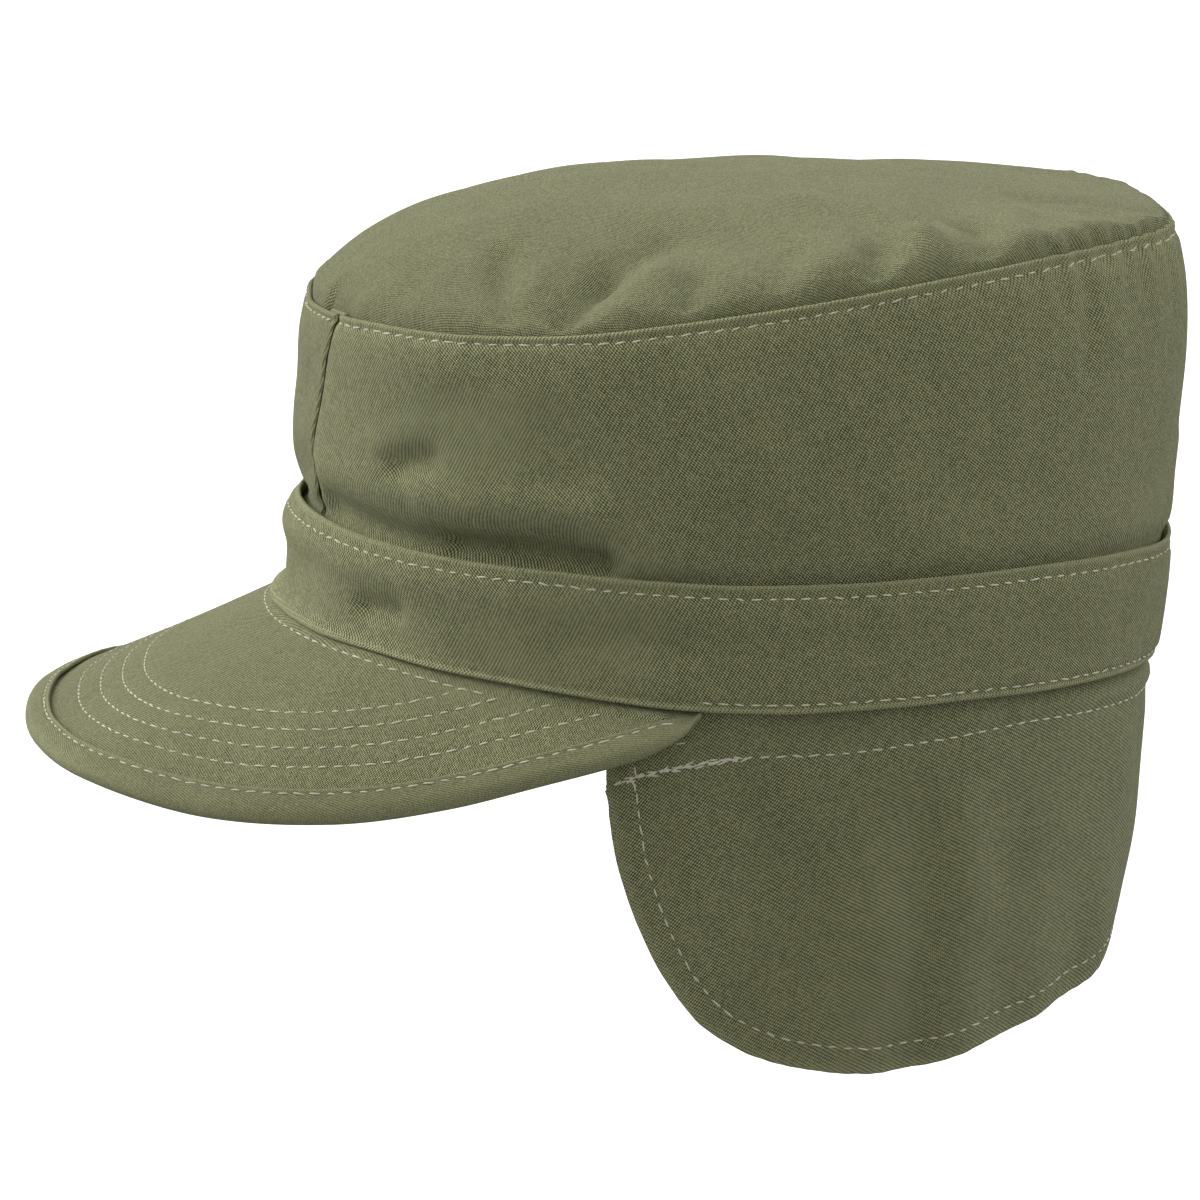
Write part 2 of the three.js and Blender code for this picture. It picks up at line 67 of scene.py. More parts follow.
# Heights of the seams round the head
SEAMS = rows(
    "angle band_bottom band_top top_seam",
    (0, 10.4, 34.4, 81.7),
    (15, 9.4, 34.2, 81.9),
    (30, 7.8, 32.7, 82.3),
    (45, 5.3, 31.4, 82.4),
    (60, 2.9, 30.6, 83.4),
    (75, 0.1, 29.3, 86.1),
    (90, -1.3, 28.4, 89.1),
    (105, -1.3, 28.4, 92.3),
    (120, -1.0, 28.9, 95.9),
    (135, -1.4, 29.0, 98.8),
    (150, -2.3, 28.0, 99.9),
    (165, -3.8, 26.2, 99.6),
    (180, -5.0, 25.2, 98.8),
)

# Outside of the crown wall, from the band (share 0) up to the top seam (share 1)
CROWN_RINGS = rows(
    "share side front back front_power back_power",
    (-0.2, 81.4, 98.2, 101.9, 2.1, 2.2),
    (0.0, 81.6, 98.6, 102.3, 2.1, 2.2),
    (0.06, 82.9, 100.4, 104.3, 2.1, 2.2),
    (0.2, 84.0, 102.5, 105.0, 2.1, 2.2),
    (0.4, 84.8, 102.4, 106.3, 2.15, 2.2),
    (0.6, 84.8, 101.2, 107.2, 2.2, 2.25),
    (0.8, 84.0, 100.6, 106.7, 2.25, 2.3),
    (0.93, 82.8, 99.4, 105.0, 2.3, 2.3),
    (1.0, 81.6, 98.3, 102.9, 2.3, 2.3),
)

# Outside of the band, from its lower edge (share 0) to its upper edge (share 1)
BAND_RINGS = rows(
    "share side front back front_power back_power",
    (0.0, 83.8, 108.0, 101.0, 2.1, 2.1),
    (0.06, 84.1, 106.4, 102.0, 2.1, 2.1),
    (0.14, 84.2, 104.6, 102.9, 2.1, 2.1),
    (0.28, 84.3, 104.1, 103.6, 2.1, 2.1),
    (0.5, 84.3, 103.9, 104.2, 2.1, 2.15),
    (0.72, 84.6, 104.9, 104.6, 2.1, 2.2),
    (0.9, 84.4, 103.2, 104.8, 2.1, 2.2),
    (1.0, 84.1, 100.8, 104.6, 2.1, 2.2),
)

# Outside of the flap, by distance below the band's lower edge
FLAP_RINGS = rows(
    "drop side front back front_power back_power",
    (-12, 81.2, 101.4, 98.0, 2.1, 2.1),
    (0, 81.3, 105.0, 98.4, 2.1, 2.1),
    (4, 81.4, 105.4, 100.8, 2.1, 2.1),
    (8, 81.5, 105.6, 99.9, 2.1, 2.1),
    (14, 81.9, 105.8, 100.0, 2.1, 2.1),
    (30, 82.4, 106.0, 98.8, 2.1, 2.1),
    (50, 82.3, 106.0, 96.7, 2.1, 2.1),
    (64, 81.8, 106.0, 94.2, 2.1, 2.1),
    (76, 81.2, 106.0, 90.9, 2.1, 2.1),
    (90, 80.4, 106.0, 87.0, 2.1, 2.1),
)

# Lower edge of the flap
FLAP_START = 67.4
FLAP_EDGE = rows(
    "angle height",
    (FLAP_START, -20.0),
    (68.4, -29.0),
    (69.2, -36.0),
    (70.5, -43.0),
    (72.1, -50.0),
    (74.1, -57.0),
    (76.4, -63.4),
    (79.0, -69.0),
    (82.0, -74.0),
    (85.2, -77.6),
    (90.0, -81.4),
    (96.0, -84.4),
    (103.0, -86.4),
    (111.0, -87.7),
    (120.0, -87.2),
    (130.0, -84.4),
    (140.0, -82.0),
    (152.0, -78.9),
    (165.0, -76.7),
    (180.0, -76.4),
)

# Row of stitches a little below the band
FLAP_ROW = rows(
    "angle height",
    (68, -18.0),
    (72, -16.2),
    (76, -14.7),
    (80, -13.6),
    (90, -11.7),
    (105, -11.3),
    (120, -9.8),
    (135, -8.5),
    (150, -9.6),
    (165, -11.2),
    (180, -12.5),
)

# Outer edge of the visor and how far its middle lies below a straight line
VISOR_EDGE = rows(
    "angle reach height sag",
    (0, 166.0, -16.9, 2.2),
    (10, 165.3, -17.6, 1.5),
    (20, 160.4, -19.1, 0.0),
    (30, 144.6, -23.6, -1.0),
    (40, 125.4, -24.2, -0.8),
    (50, 109.4, -20.8, -0.3),
    (60, 100.4, -15.3, 0.1),
    (70, 94.6, -10.0, 0.2),
    (76, 91.3, -6.7, 0.1),
    (80, 87.6, -3.9, 0.0),
    (82, 84.4, -0.9, 0.0),
)

# Folds are lines on the cloth. Depth is inward, so a negative one is a ridge.
# On a wall, x is the angle and y the height above the foot of the crown or band.
CROWN_FOLDS = rows(
    "x0 y0 x1 y1 depth width",
    (42.5, 2.2, 66, 2.1, 6.5, 3.9),
    (41, 13, 66, 14, -2.1, 5.0),
    (52, 6, 62, 7, 1.6, 4.0),
    (18, 3.2, 38, 1.8, 3.3, 3.9),
    (20, 13, 35, 13, -1.1, 4.5),
    (4, 6, 13, 10, 1.6, 5.0),
    (11, 24, 14, 34, 0.8, 4.0),
    (36, 19, 41, 22, 2.3, 3.0),
    (33, 24, 40, 29, -0.6, 3.5),
    (47, 36, 52, 30, 0.8, 5.0),
    (60, 34, 66, 26, 0.7, 6.0),
    (38, 44, 47, 46, -0.7, 7.0),
    (63, 45, 70, 49, -0.9, 8.0),
    (84, 14, 87, 16, 0.6, 5.0),
    (139.5, 44, 141, 62, 0.7, 2.2),
    (143.5, 50, 144, 64, -0.5, 2.4),
    (150, 52, 151, 66, 0.45, 2.0),
    (155, 50, 156, 66, -0.4, 2.2),
    (160, 54, 160, 68, 0.4, 2.0),
    (164, 2, 166, 15, 0.8, 2.6),
    (169, 2, 170, 22, -0.6, 3.0),
    (85, 6, 108, 7, 0.8, 6.0),
    (112, 28, 122, 20, 0.5, 7.0),
    (-40, 6, -58, 7, 1.6, 6.0),
    (-30, 20, -38, 26, 0.8, 4.5),
    (-98, 7, -122, 6, 1.0, 6.0),
    (-146, 46, -148, 64, 0.7, 2.6),
    (-158, 50, -160, 66, 0.5, 2.4),
    (-75, 30, -84, 40, 0.6, 8.0),
    (176, 4, 178, 24, 0.5, 4.0),
)
BAND_FOLDS = rows(
    "x0 y0 x1 y1 depth width",
    (29.5, 8.6, 34.5, 9.6, 2.6, 2.9),
    (26, 17, 38, 18, -0.5, 4.0),
    (62, 12, 80, 15, 1.3, 6.0),
    (75, 8, 80, 20, -0.3, 5.0),
    (150, 6, 152, 24, 0.3, 3.0),
    (160, 5, 162, 25, 0.5, 2.6),
    (167, 5, 168, 25, -0.4, 2.6),
    (-55, 12, -68, 16, 0.7, 6.0),
    (-28, 10, -32, 16, 0.5, 4.0),
    (-158, 5, -160, 25, 0.5, 3.0),
    (12, 9, 18, 16, 0.35, 4.0),
    (-100, 8, -112, 18, 0.4, 6.0),
)

# On the flap, x is the angle and y the height from the head opening.
FLAP_FOLDS = rows(
    "x0 y0 x1 y1 depth width",
    (88, -20, 93, -38, 1.2, 8.0),
    (117, -28, 116, -84, 1.5, 6.0),
    (124, -26, 125, -82, -1.1, 6.0),
    (132, -40, 134, -80, 0.7, 6.0),
    (147, -50, 149, -80, 1.2, 7.0),
    (156, -30, 157, -80, -0.7, 7.0),
    (166, -14, 168, -60, 0.6, 5.0),
    (80, -40, 86, -62, -0.5, 8.0),
    (-98, -20, -99, -84, 1.3, 7.0),
    (-108, -30, -111, -84, -1.1, 7.0),
    (-140, -30, -142, -80, 1.2, 7.0),
    (-82, -30, -88, -50, 0.8, 8.0),
    (-165, -20, -166, -76, -0.6, 6.0),
    (178, -20, 179, -76, 0.6, 7.0),
)

# On the soft top, x and y are distances left of and behind the origin.
TOP_FOLDS = rows(
    "x0 y0 x1 y1 depth width",
    (75, -43, 63, -32, 3.1, 3.8),
    (63, -32, 54, -19, 2.4, 4.8),
    (66, -49, 58, -44, -1.0, 3.5),
    (76, -29, 68, -22, -1.7, 4.5),
    (80, -15, 73, -13, 2.0, 3.2),
    (76, -56, 48, -54, 2.6, 4.0),
    (74, -74, 70, -70, 1.5, 3.5),
    (62, -68, 50, -64, -0.7, 5.0),
    (54, -77, 46, -73, 1.1, 4.0),
    (76, 6, 68, 10, 0.9, 4.0),
    (79, 27, 71, 27, 2.2, 3.8),
    (76, 35, 66, 38, -1.8, 4.0),
    (71, 53, 60, 50, 2.6, 4.2),
    (60, 60, 46, 62, -1.2, 6.0),
    (38, -27, 40, 13, -1.1, 7.0),
    (40, 13, 53, 38, -1.2, 6.0),
    (26, 66, 22, 94, 1.4, 5.0),
    (40, 88, 34, 74, 1.2, 4.5),
    (-74, -36, -60, -24, 2.0, 7.0),
    (-76, 22, -62, 40, 1.8, 7.0),
    (-60, 60, -36, 86, 1.3, 6.0),
    (-40, -80, -46, -60, 1.0, 7.0),
    (-20, 30, -44, 10, 0.8, 9.0),
    (6, -70, 20, -50, 0.6, 10.0),
    (-40, 36, -54, 76, 2.1, 14.0),
    (-14, -94, -22, -60, 1.4, 14.0),
    (-20, -40, -24, 16, 0.7, 16.0),
)

# Places along the top seam where the cloth stands up before it turns over
TOP_PUFFS = rows(
    "angle spread rise peak",
    (27, 6, 0.8, 5.0),
    (36, 3, 1.2, 2.5),
    (50, 4, 1.2, 7.0),
    (75, 5, 1.6, 5.0),
    (88, 9, 2.4, 5.5),
    (103, 6, 4.0, 6.0),
    (110, 5, 2.2, 8.0),
    (120, 3.6, 4.2, 7.0),
    (127, 3.4, 3.2, 7.0),
    (134, 4, 2.2, 3.5),
    (144, 6, 3.0, 3.5),
    (157, 5, 2.0, 3.0),
    (-60, 9, 1.8, 5.5),
    (-92, 12, 1.6, 6.0),
    (-118, 8, 1.6, 5.5),
    (-145, 9, 1.4, 4.5),
)

# The soft top's crest, how round and how steep its dome is, and how it meets the wall
CREST_HEIGHT = 110.1
TOP_ROUND = {"front": 2.55, "side": 1.95, "back": 1.3}
TOP_STEEP = {"ends": 0.67, "side": 0.86}
TOP_INSET = 1.55
TOP_LIFT = 1.2
TOP_EDGE_RUN = 7
TOP_PLEAT_RUN = 4.5

# The folded ends of the front panel, in degrees, and how deep the side wall dips under them
PLEAT_FOOT, PLEAT_TOP = 13.0, 21.3
PLEAT_UNDERLAP = 5.0
PLEAT_RUN_OUT = 1.3
PLEAT_DEPTH = 1.75

# How far below the top seam the top's edge meets the wall, and the rest of its hem with the
# distance in from there
HEM_START = 0.6
TOP_HEM = ((0.9, 0.1), (2.4, 0.3), (4.4, 0.0))

# Gathers at the back of the crown: where they run, their number round the head, their depth on
# the wearer's left and right, and how fast they fade below the seam
GATHER_FROM, GATHER_TO = 128, 176
GATHER_WAVES = 87
GATHER_LEFT, GATHER_RIGHT = 0.75, 0.25
GATHER_FADE = 9.0

# Height below the band's upper edge over which the crown's foot moves in against the band
TUCK_RUN = 7.0

# Heights of the soft waves in each part's cloth
CROWN_WAVE, TOP_WAVE, BAND_WAVE, VISOR_WAVE, FLAP_WAVE = 0.32, 0.25, 0.22, 0.16, 0.4

# Rows of stitches, by distance in from their edge
BAND_UPPER_ROW, BAND_LOWER_ROW = 3.2, 2.3
VISOR_ROWS = (13.6, 19.35, 25.1, 30.8)
VISOR_ROOT_ROW = 3.5
HEM = 6.3

# The visor ends at an angle, from where it narrows on, and its root lies inside and under the band
VISOR_END, VISOR_NARROWS = 82.0, 72
VISOR_TUCK, VISOR_DROP = 1.9, 0.35
VISOR_THICKNESS, VISOR_THINNING = 3.2, 2.2
BINDING_WIDTH = 6.3
BINDING_LIFT = 1.2
BINDING_NOSE = 2.6
# Share of half the binding that bends round the visor's edge
BINDING_BEND = 0.42

# How the cloth rises and dips beside an edge: distance in from it, width and rise
CROWN_RIM = ((0.7, 0.6, 0.5),)
BAND_UPPER_RIM = ((0.7, 0.6, 0.34), (1.8, 0.6, -0.12), (BAND_UPPER_ROW, 0.6, -0.3))
BAND_LOWER_RIM = ((0.7, 0.55, 0.42), (1.6, 0.5, -0.12))
BINDING_RIM = ((0.3, 0.4, 0.05), (1.0, 0.5, -0.24))
HEM_RIM = ((HEM, 0.8, -0.3), (HEM / 2, 3.0, 0.15))

# How worn the cloth is beside an edge, in the same form, and rough heights that place the wear
SIDE_WEAR = ((0.7, 0.8, 0.9), (3, 3, 0.1))
FRONT_WEAR = ((0.7, 0.8, 0.9),)
BAND_UPPER_WEAR = ((0.5, 0.6, 0.85),)
BAND_LOWER_WEAR = ((0.6, 0.6, 1.1),)
HEM_WEAR = ((0.4, 1.4, 0.5),)
SIDE_TALL, FRONT_TALL, BAND_TALL = 62, 48, 26

# How a row of stitches draws the cloth in and out: share of the pucker, fade, pitch and seed
SEAM_PUCKER = (1.0, 3.0, 3.9, 21)
TOP_PUCKER = (0.9, 3.0, 3.9, 41)
BAND_UPPER_PUCKER = (0.6, 2.2, 3.7, 23)
BAND_LOWER_PUCKER = (0.7, 1.8, 3.7, 27)
HEM_PUCKER = (0.7, 2.6, 3.9, 25)

# Height of a stitch over the cloth, how much it leans either way in degrees, and its length
STITCH_LIFT, STITCH_LIFT_SPREAD = 0.15, (-0.09, 0.06)
STITCH_SWAY = 5.5
STITCH_STRETCH = (0.7, 1.12)

# Zigzag that tacks the flap's front corners: start, rise above the row, pitch and slant
TACK_ROWS = (
    (0.0, 0.35, 2.9, 5.0),
    (0.6, -0.3, 2.7, -3.0),
    (1.3, 0.1, 3.1, 3.0),
    (2.0, -0.05, 2.8, 7.0),
)

# Corner tacks of the flap, between two angles, and small bars above the row
TACK_SPANS = ((68.1, 90.0), (270.0, 291.9))
BAR_SPANS = ((77.3, 79.6), (280.4, 282.7))
BAR_HEIGHT = -8.6

# The twill of each part: slant of its diagonal in degrees, tint, contrast and size of its weave. The tints
# are set so each part's brightness in this light matches, so they are partly the cloth's colour and partly
# painted light and shade.
TWILLS = {
    "top": (28.0, 1.24, 1.9, 0.75),
    "side": (28.0, 1.28, 1.7, 1.0),
    # The front panel is the same cloth as the side: its lower tint is painted shade.
    "front": (28.0, 1.12, 1.7, 1.0),
    "band": (27.0, 1.24, 1.65, 1.0),
    "visor": (62.0, 1.44, 1.8, 0.6),
    # The binding's raised tint is painted light on its rounded underside.
    "binding": (70.0, 1.42, 1.2, 0.6),
    "flap": (-62.0, 1.18, 1.65, 1.0),
}


# Shared shapes


def size(name):
    """One of the user's sizes in millimetres."""
    return getattr(bpy.context.scene.cap_sizes, name) / MM


def through(table, name, at):
    """A column of a table as a smooth curve over the table's first column."""
    key = next(iter(table[0]))
    keys = np.array([row[key] for row in table], float)
    values = np.array([row[name] for row in table], float)
    spot = np.clip(at, keys[0], keys[-1])
    row = np.clip(np.searchsorted(keys, spot, side="right") - 1, 0, len(keys) - 2)
    slope = np.zeros(len(keys))
    slope[1:-1] = (values[2:] - values[:-2]) / (keys[2:] - keys[:-2])
    span = keys[row + 1] - keys[row]
    t = (spot - keys[row]) / span
    rise = t * t * (3 - 2 * t)
    bend = slope[row] * (t - 2 * t**2 + t**3) + slope[row + 1] * (t**3 - t**2)
    return values[row] * (1 - rise) + values[row + 1] * rise + span * bend


def signed(angle):
    """The same angle between -180 and 180."""
    return (np.asarray(angle) + 180.0) % 360.0 - 180.0


def from_front(angle):
    """Degrees from the front centre to either side."""
    return np.abs(signed(angle))


def seam_height(name, angle):
    return through(SEAMS, name, from_front(angle))


def crown_height(angle):
    return seam_height("top_seam", angle) - seam_height("band_top", angle)


def band_height(angle):
    return seam_height("band_top", angle) - seam_height("band_bottom", angle)


def flap_row_height(angle):
    return through(FLAP_ROW, "height", from_front(angle))


def oval_reach(rings, at, angle):
    """Distance from the axis to an oval whose front and back have their own length."""
    turn = np.radians(angle)

    def by_end(name):
        front, back = (through(rings, end + name, at) for end in ("front", "back"))
        return np.where(np.cos(turn) > 0, front, back)

    power = by_end("_power")
    along = (np.abs(np.cos(turn)) / by_end("")) ** power
    across = (np.abs(np.sin(turn)) / through(rings, "side", at)) ** power
    return (along + across) ** (-1 / power)


def place(angle, reach, height):
    """Points from the angle round the head, distance from the axis and height."""
    turn = np.radians(angle)
    return np.stack(np.broadcast_arrays(reach * np.sin(turn), -reach * np.cos(turn), height), -1)


def away(points):
    """Distance of points from the axis."""
    return np.hypot(points[..., 0], points[..., 1])


def fold_depth(table, x, y, turning=True):
    """Depth of all the folds of a table at a spot. On a wall, x is an angle that turns round."""
    total = 0.0
    for fold in table:
        across, reach = x - fold["x0"], fold["x1"] - fold["x0"]
        if turning:
            across, reach = signed(across) * ARC, signed(reach) * ARC
        rise = fold["y1"] - fold["y0"]
        run = np.clip((across * reach + (y - fold["y0"]) * rise) / (reach**2 + rise**2), 0, 1)
        off = (across - run * reach) ** 2 + (y - fold["y0"] - run * rise) ** 2
        total += fold["depth"] * np.exp(-off / fold["width"] ** 2)
    return total


def puffed(angle, inside):
    """How far the top's cloth stands above its plain dome just inside the seam."""
    total = 0.0
    for puff in TOP_PUFFS:
        near = bump(signed(angle - puff["angle"]), puff["spread"])
        run = np.maximum(inside, 0) / puff["peak"]
        total += puff["rise"] * near * run * np.exp(1 - run)
    return total


def unevenness(angle, up, seed):
    """Soft waves of worn cloth, between about -1 and 1, that meet at the back."""
    dice = np.random.default_rng(seed)
    total = 0.0
    for _ in range(9):
        waves = dice.integers(3, 22)
        climb = dice.uniform(-0.16, 0.16)
        phase = dice.uniform(0, 2 * math.pi)
        total += np.sin(np.radians(angle) * waves + climb * up + phase)
    return total / 4.0


def bump(offset, width):
    return np.exp(-((offset / width) ** 2))


def step(value):
    """0 below 0, 1 above 1 and a smooth rise between them."""
    t = np.clip(value, 0, 1)
    return t * t * (3 - 2 * t)


def rolled(rim, distance):
    """How far the cloth stands out beside an edge, by distance in from it."""
    return sum(rise * bump(distance - at, width) for at, width, rise in rim)


def pull(angle, pitch, seed):
    """The gathering of cloth between one stitch and the next, uneven along the seam."""
    along = np.asarray(angle) * ARC
    drift = 1.3 * unevenness(angle, 0.0, seed)
    strength = 0.65 + 0.35 * unevenness(angle, 0.0, seed + 1)
    return strength * np.cos(2 * math.pi * (along / pitch + drift))


def puckers(angle, distance, share, fade, pitch, seed):
    """How far a row of stitches draws the cloth in and out at some distance from the row."""
    return share * size("pucker") * pull(angle, pitch, seed) * np.exp(-np.abs(distance) / fade)


def seam_row(angle):
    """How far below the top seam its row of stitches runs."""
    return 1.9 + 0.7 * step((from_front(angle) - 58) / 16) + 0.15 * unevenness(angle, 0.0, seed=77)


# Outer faces of the cloth


def crown_wall(angle, share):
    """Outer face of the crown wall, whose foot is sewn to the inside of the band."""
    foot, tall = seam_height("band_top", angle), crown_height(angle)
    up = share * tall
    below = tall - up
    row = seam_row(angle)
    reach = oval_reach(CROWN_RINGS, share, angle) - fold_depth(CROWN_FOLDS, angle, up)
    reach += CROWN_WAVE * unevenness(angle, up, seed=11) * step(up / 8)
    reach += rolled(CROWN_RIM, below) - 0.3 * bump(below - row + 0.3, 0.7)
    reach += puckers(angle, below - row, *SEAM_PUCKER)
    at = from_front(angle)
    gather = step((at - GATHER_FROM) / 12) * step((GATHER_TO - at) / 8)
    gather = gather * np.where(signed(angle) > 0, GATHER_LEFT, GATHER_RIGHT)
    waves = np.sin(np.radians(angle) * GATHER_WAVES + 0.8 * unevenness(angle, 0, seed=5))
    reach += gather * waves * np.exp(-below / GATHER_FADE)
    reach += (band_inside(angle, foot + up) - reach) * step(-up / TUCK_RUN)
    return place(angle, reach, foot + up)


def pleat_angle(share):
    return PLEAT_FOOT + (PLEAT_TOP - PLEAT_FOOT) * share


def side_wall(angle, share):
    """Outer face of the side wall, which dips under the front panel's folded ends."""
    past = from_front(angle) - pleat_angle(share)
    under = 1 - step((past + 0.25) / PLEAT_RUN_OUT)
    dip = PLEAT_DEPTH * under + 0.3 * np.exp(-np.maximum(past, 0) / 2.5)
    return crown_wall(angle, share) - place(angle, 1.0, 0.0) * dip[..., None]


def crown_inside(angle, down):
    """Distance from the axis to just inside the wall and its folded pleats, below the seam."""
    past = from_front(angle) - PLEAT_TOP
    ahead = 1 - step((-past - PLEAT_UNDERLAP - 0.4) / 1.4)
    behind = 1 - step((past - 0.6) / TOP_PLEAT_RUN)
    wall = away(crown_wall(angle, 1 - down / crown_height(angle)))
    return wall - 1.5 - PLEAT_DEPTH * np.minimum(ahead, behind)


def top_reach(angle, share):
    """Distance of the top's cloth from the axis. Its edge follows the inside of the wall."""
    plain = oval_reach(CROWN_RINGS, 1.0, angle) - TOP_INSET
    near = step(1 - plain * (1 - share) / TOP_EDGE_RUN)
    return plain * share + (crown_inside(angle, HEM_START) - plain) * near


def domed_top(angle, share):
    """Outer face of the soft top from its crest (share 0) to its edge (share 1)."""
    ahead = (1 + np.cos(np.radians(angle))) / 2
    beside = np.sin(np.radians(angle)) ** 2
    lengthwise = TOP_ROUND["back"] + (TOP_ROUND["front"] - TOP_ROUND["back"]) * ahead
    roundness = lengthwise + (TOP_ROUND["side"] - lengthwise) * beside
    steepness = TOP_STEEP["ends"] + (TOP_STEEP["side"] - TOP_STEEP["ends"]) * beside
    seam = seam_height("top_seam", angle)
    reach = top_reach(angle, share)
    x, y = (place(angle, reach, 0.0)[..., axis] for axis in (0, 1))
    inside = top_reach(angle, 1.0) - reach
    fade = step(inside / 2.4)
    height = seam + (CREST_HEIGHT - seam) * (1 - np.minimum(share, 1) ** roundness) ** steepness
    height -= fold_depth(TOP_FOLDS, x, y, turning=False) * fade
    height += puffed(angle, inside) + TOP_LIFT * step(inside / 0.9) * step(4 * share)
    height += TOP_WAVE * unevenness(np.degrees(x / 60), y, seed=31) * fade
    gathers = puckers(angle, inside, *TOP_PUCKER)
    broad = np.sin(np.radians(angle) * 37 + 2.0 * unevenness(angle, 0, seed=6)) * np.exp(-inside / 12.0)
    height += (gathers + 0.13 * broad) * step(inside / 1.5)
    return place(angle, reach, height)


def band_wall(angle, share):
    """Outer face of the band."""
    tall = band_height(angle)
    up = share * tall
    below = tall - up
    behind = step((from_front(angle) - 70) / 6)
    reach = oval_reach(BAND_RINGS, share, angle) - fold_depth(BAND_FOLDS, angle, up)
    reach += BAND_WAVE * unevenness(angle, up, seed=13)
    reach += rolled(BAND_UPPER_RIM, below) + rolled(BAND_LOWER_RIM, up)
    reach -= 0.3 * behind * bump(up - BAND_LOWER_ROW, 0.7)
    reach += puckers(angle, below - 2.4, *BAND_UPPER_PUCKER)
    reach += puckers(angle, up - 1.6, *BAND_LOWER_PUCKER)
    return place(angle, reach, seam_height("band_bottom", angle) + up)


def band_inside(angle, height):
    """Distance from the axis to just inside the band, where the crown's foot is sewn."""
    foot, head = seam_height("band_bottom", angle), seam_height("band_top", angle)
    share = np.clip((height - foot) / (head - foot), 0, 1)
    return away(band_wall(angle, share)) - size("band_cloth") - GAP


def visor_line(angle):
    """Where the visor starts and ends at one angle, and its thickness there."""
    at = np.abs(angle)
    root = oval_reach(BAND_RINGS, 0.0, angle) - VISOR_TUCK
    root_height = seam_height("band_bottom", angle) - VISOR_DROP
    edge = through(VISOR_EDGE, "reach", at)
    edge_height = through(VISOR_EDGE, "height", at)
    length = np.hypot(edge - root, root_height - edge_height)
    narrow = step((at - VISOR_NARROWS) / (VISOR_END - VISOR_NARROWS))
    leg = np.minimum(BINDING_WIDTH, np.maximum(0.62 * length, 0.3))
    return {
        "root": root,
        "root_height": root_height,
        "edge": edge,
        "edge_height": edge_height,
        "sag": through(VISOR_EDGE, "sag", at),
        "length": length,
        "lean": np.arctan2(root_height - edge_height, edge - root),
        "thickness": VISOR_THICKNESS - VISOR_THINNING * narrow,
        "lift": BINDING_LIFT - 0.8 * narrow,
        "leg": leg,
        "nose": np.minimum(BINDING_NOSE, 0.6 * leg),
    }


def visor_spot(angle, inward, deep, line=None):
    """A point of the visor by its distance in from the outer edge and below the top face."""
    line = visor_line(angle) if line is None else line
    share = 1 - inward / line["length"]
    settle = np.clip(3 * share, 0, 1)
    reach = line["root"] + (line["edge"] - line["root"]) * share
    reach -= deep * np.sin(line["lean"]) * settle
    height = line["root_height"] + (line["edge_height"] - line["root_height"]) * share
    height -= 4 * line["sag"] * share * (1 - share) + deep * np.cos(line["lean"])
    return place(angle, reach, height)


def visor_face(angle, inward, under=False):
    """Top or under face of the visor with its quilted rows of stitching."""
    line = visor_line(angle)
    rest = line["length"] - inward
    sunk = 0.22 * bump(rest - VISOR_ROOT_ROW, 0.7) - 0.9 * bump(rest - 1.7, 1.6)
    for row in VISOR_ROWS:
        sunk += 0.24 * bump(inward - row, 0.75) * step((rest - 3) / 3)
    sunk += VISOR_WAVE * unevenness(angle, inward, seed=51) * step(rest / 5)
    sunk = np.where(line["length"] > 10, sunk, 0.3 * sunk)
    return visor_spot(angle, inward, line["thickness"] - sunk if under else sunk, line)


def binding_face(angle, run):
    """Outer face of the binding: run 0 is its inner edge on top, 1 its inner edge below."""
    line = visor_line(angle)
    half, nose = line["thickness"] / 2, line["nose"]
    flat = np.clip((run - 0.5) / 0.5, -1, 1)
    turned = np.clip(np.abs(flat) / BINDING_BEND, 0, 1)
    leg_run = np.clip((np.abs(flat) - BINDING_BEND) / (1 - BINDING_BEND), 0, 1)
    bent = turned * math.pi / 2
    inward = (nose + 0.6) * (1 - np.cos(bent)) - 0.6 + (line["leg"] - nose) * leg_run
    deep = half + np.sign(flat) * (half + line["lift"]) * np.sin(bent)
    edge = (1 - leg_run) * (line["leg"] - nose)
    roll = rolled(BINDING_RIM, edge) + 0.05 * unevenness(angle * 3, run * 9, seed=81)
    roll += 0.08 * pull(angle * 1.35, 3.7, 29) * bump(edge - 1.2, 2.2)
    return visor_spot(angle, inward, deep + np.sign(flat) * roll * turned, line)


def flap_edge_points():
    """The flap's lower edge as distance round and height."""
    far = 360 - FLAP_START
    angle = np.concatenate(
        [np.linspace(FLAP_START, 90, 300), np.linspace(90.2, 269.8, 400), np.linspace(270, far, 300)]
    )
    height = through(FLAP_EDGE, "height", from_front(angle))
    up = np.linspace(10, -20, 40)[:-1]
    first = np.stack([np.full(39, FLAP_START) * ARC, up], -1)
    last = np.stack([np.full(39, far) * ARC, up[::-1]], -1)
    return np.concatenate([first, np.stack([angle * ARC, height], -1), last])


def flap_edge_distance(angle, height):
    """How far a spot of the flap lies inside its edge, a few thousand spots at a time."""
    edge = flap_edge_points()
    flat = np.stack([np.ravel(angle % 360.0) * ARC, np.ravel(height)], -1)
    nearest = []
    for part in np.array_split(flat, len(flat) // 4000 + 1):
        gap = part[:, None, :] - edge[None, :, :]
        nearest.append(np.sqrt((gap**2).sum(-1).min(1)))
    return np.concatenate(nearest).reshape(np.shape(angle))


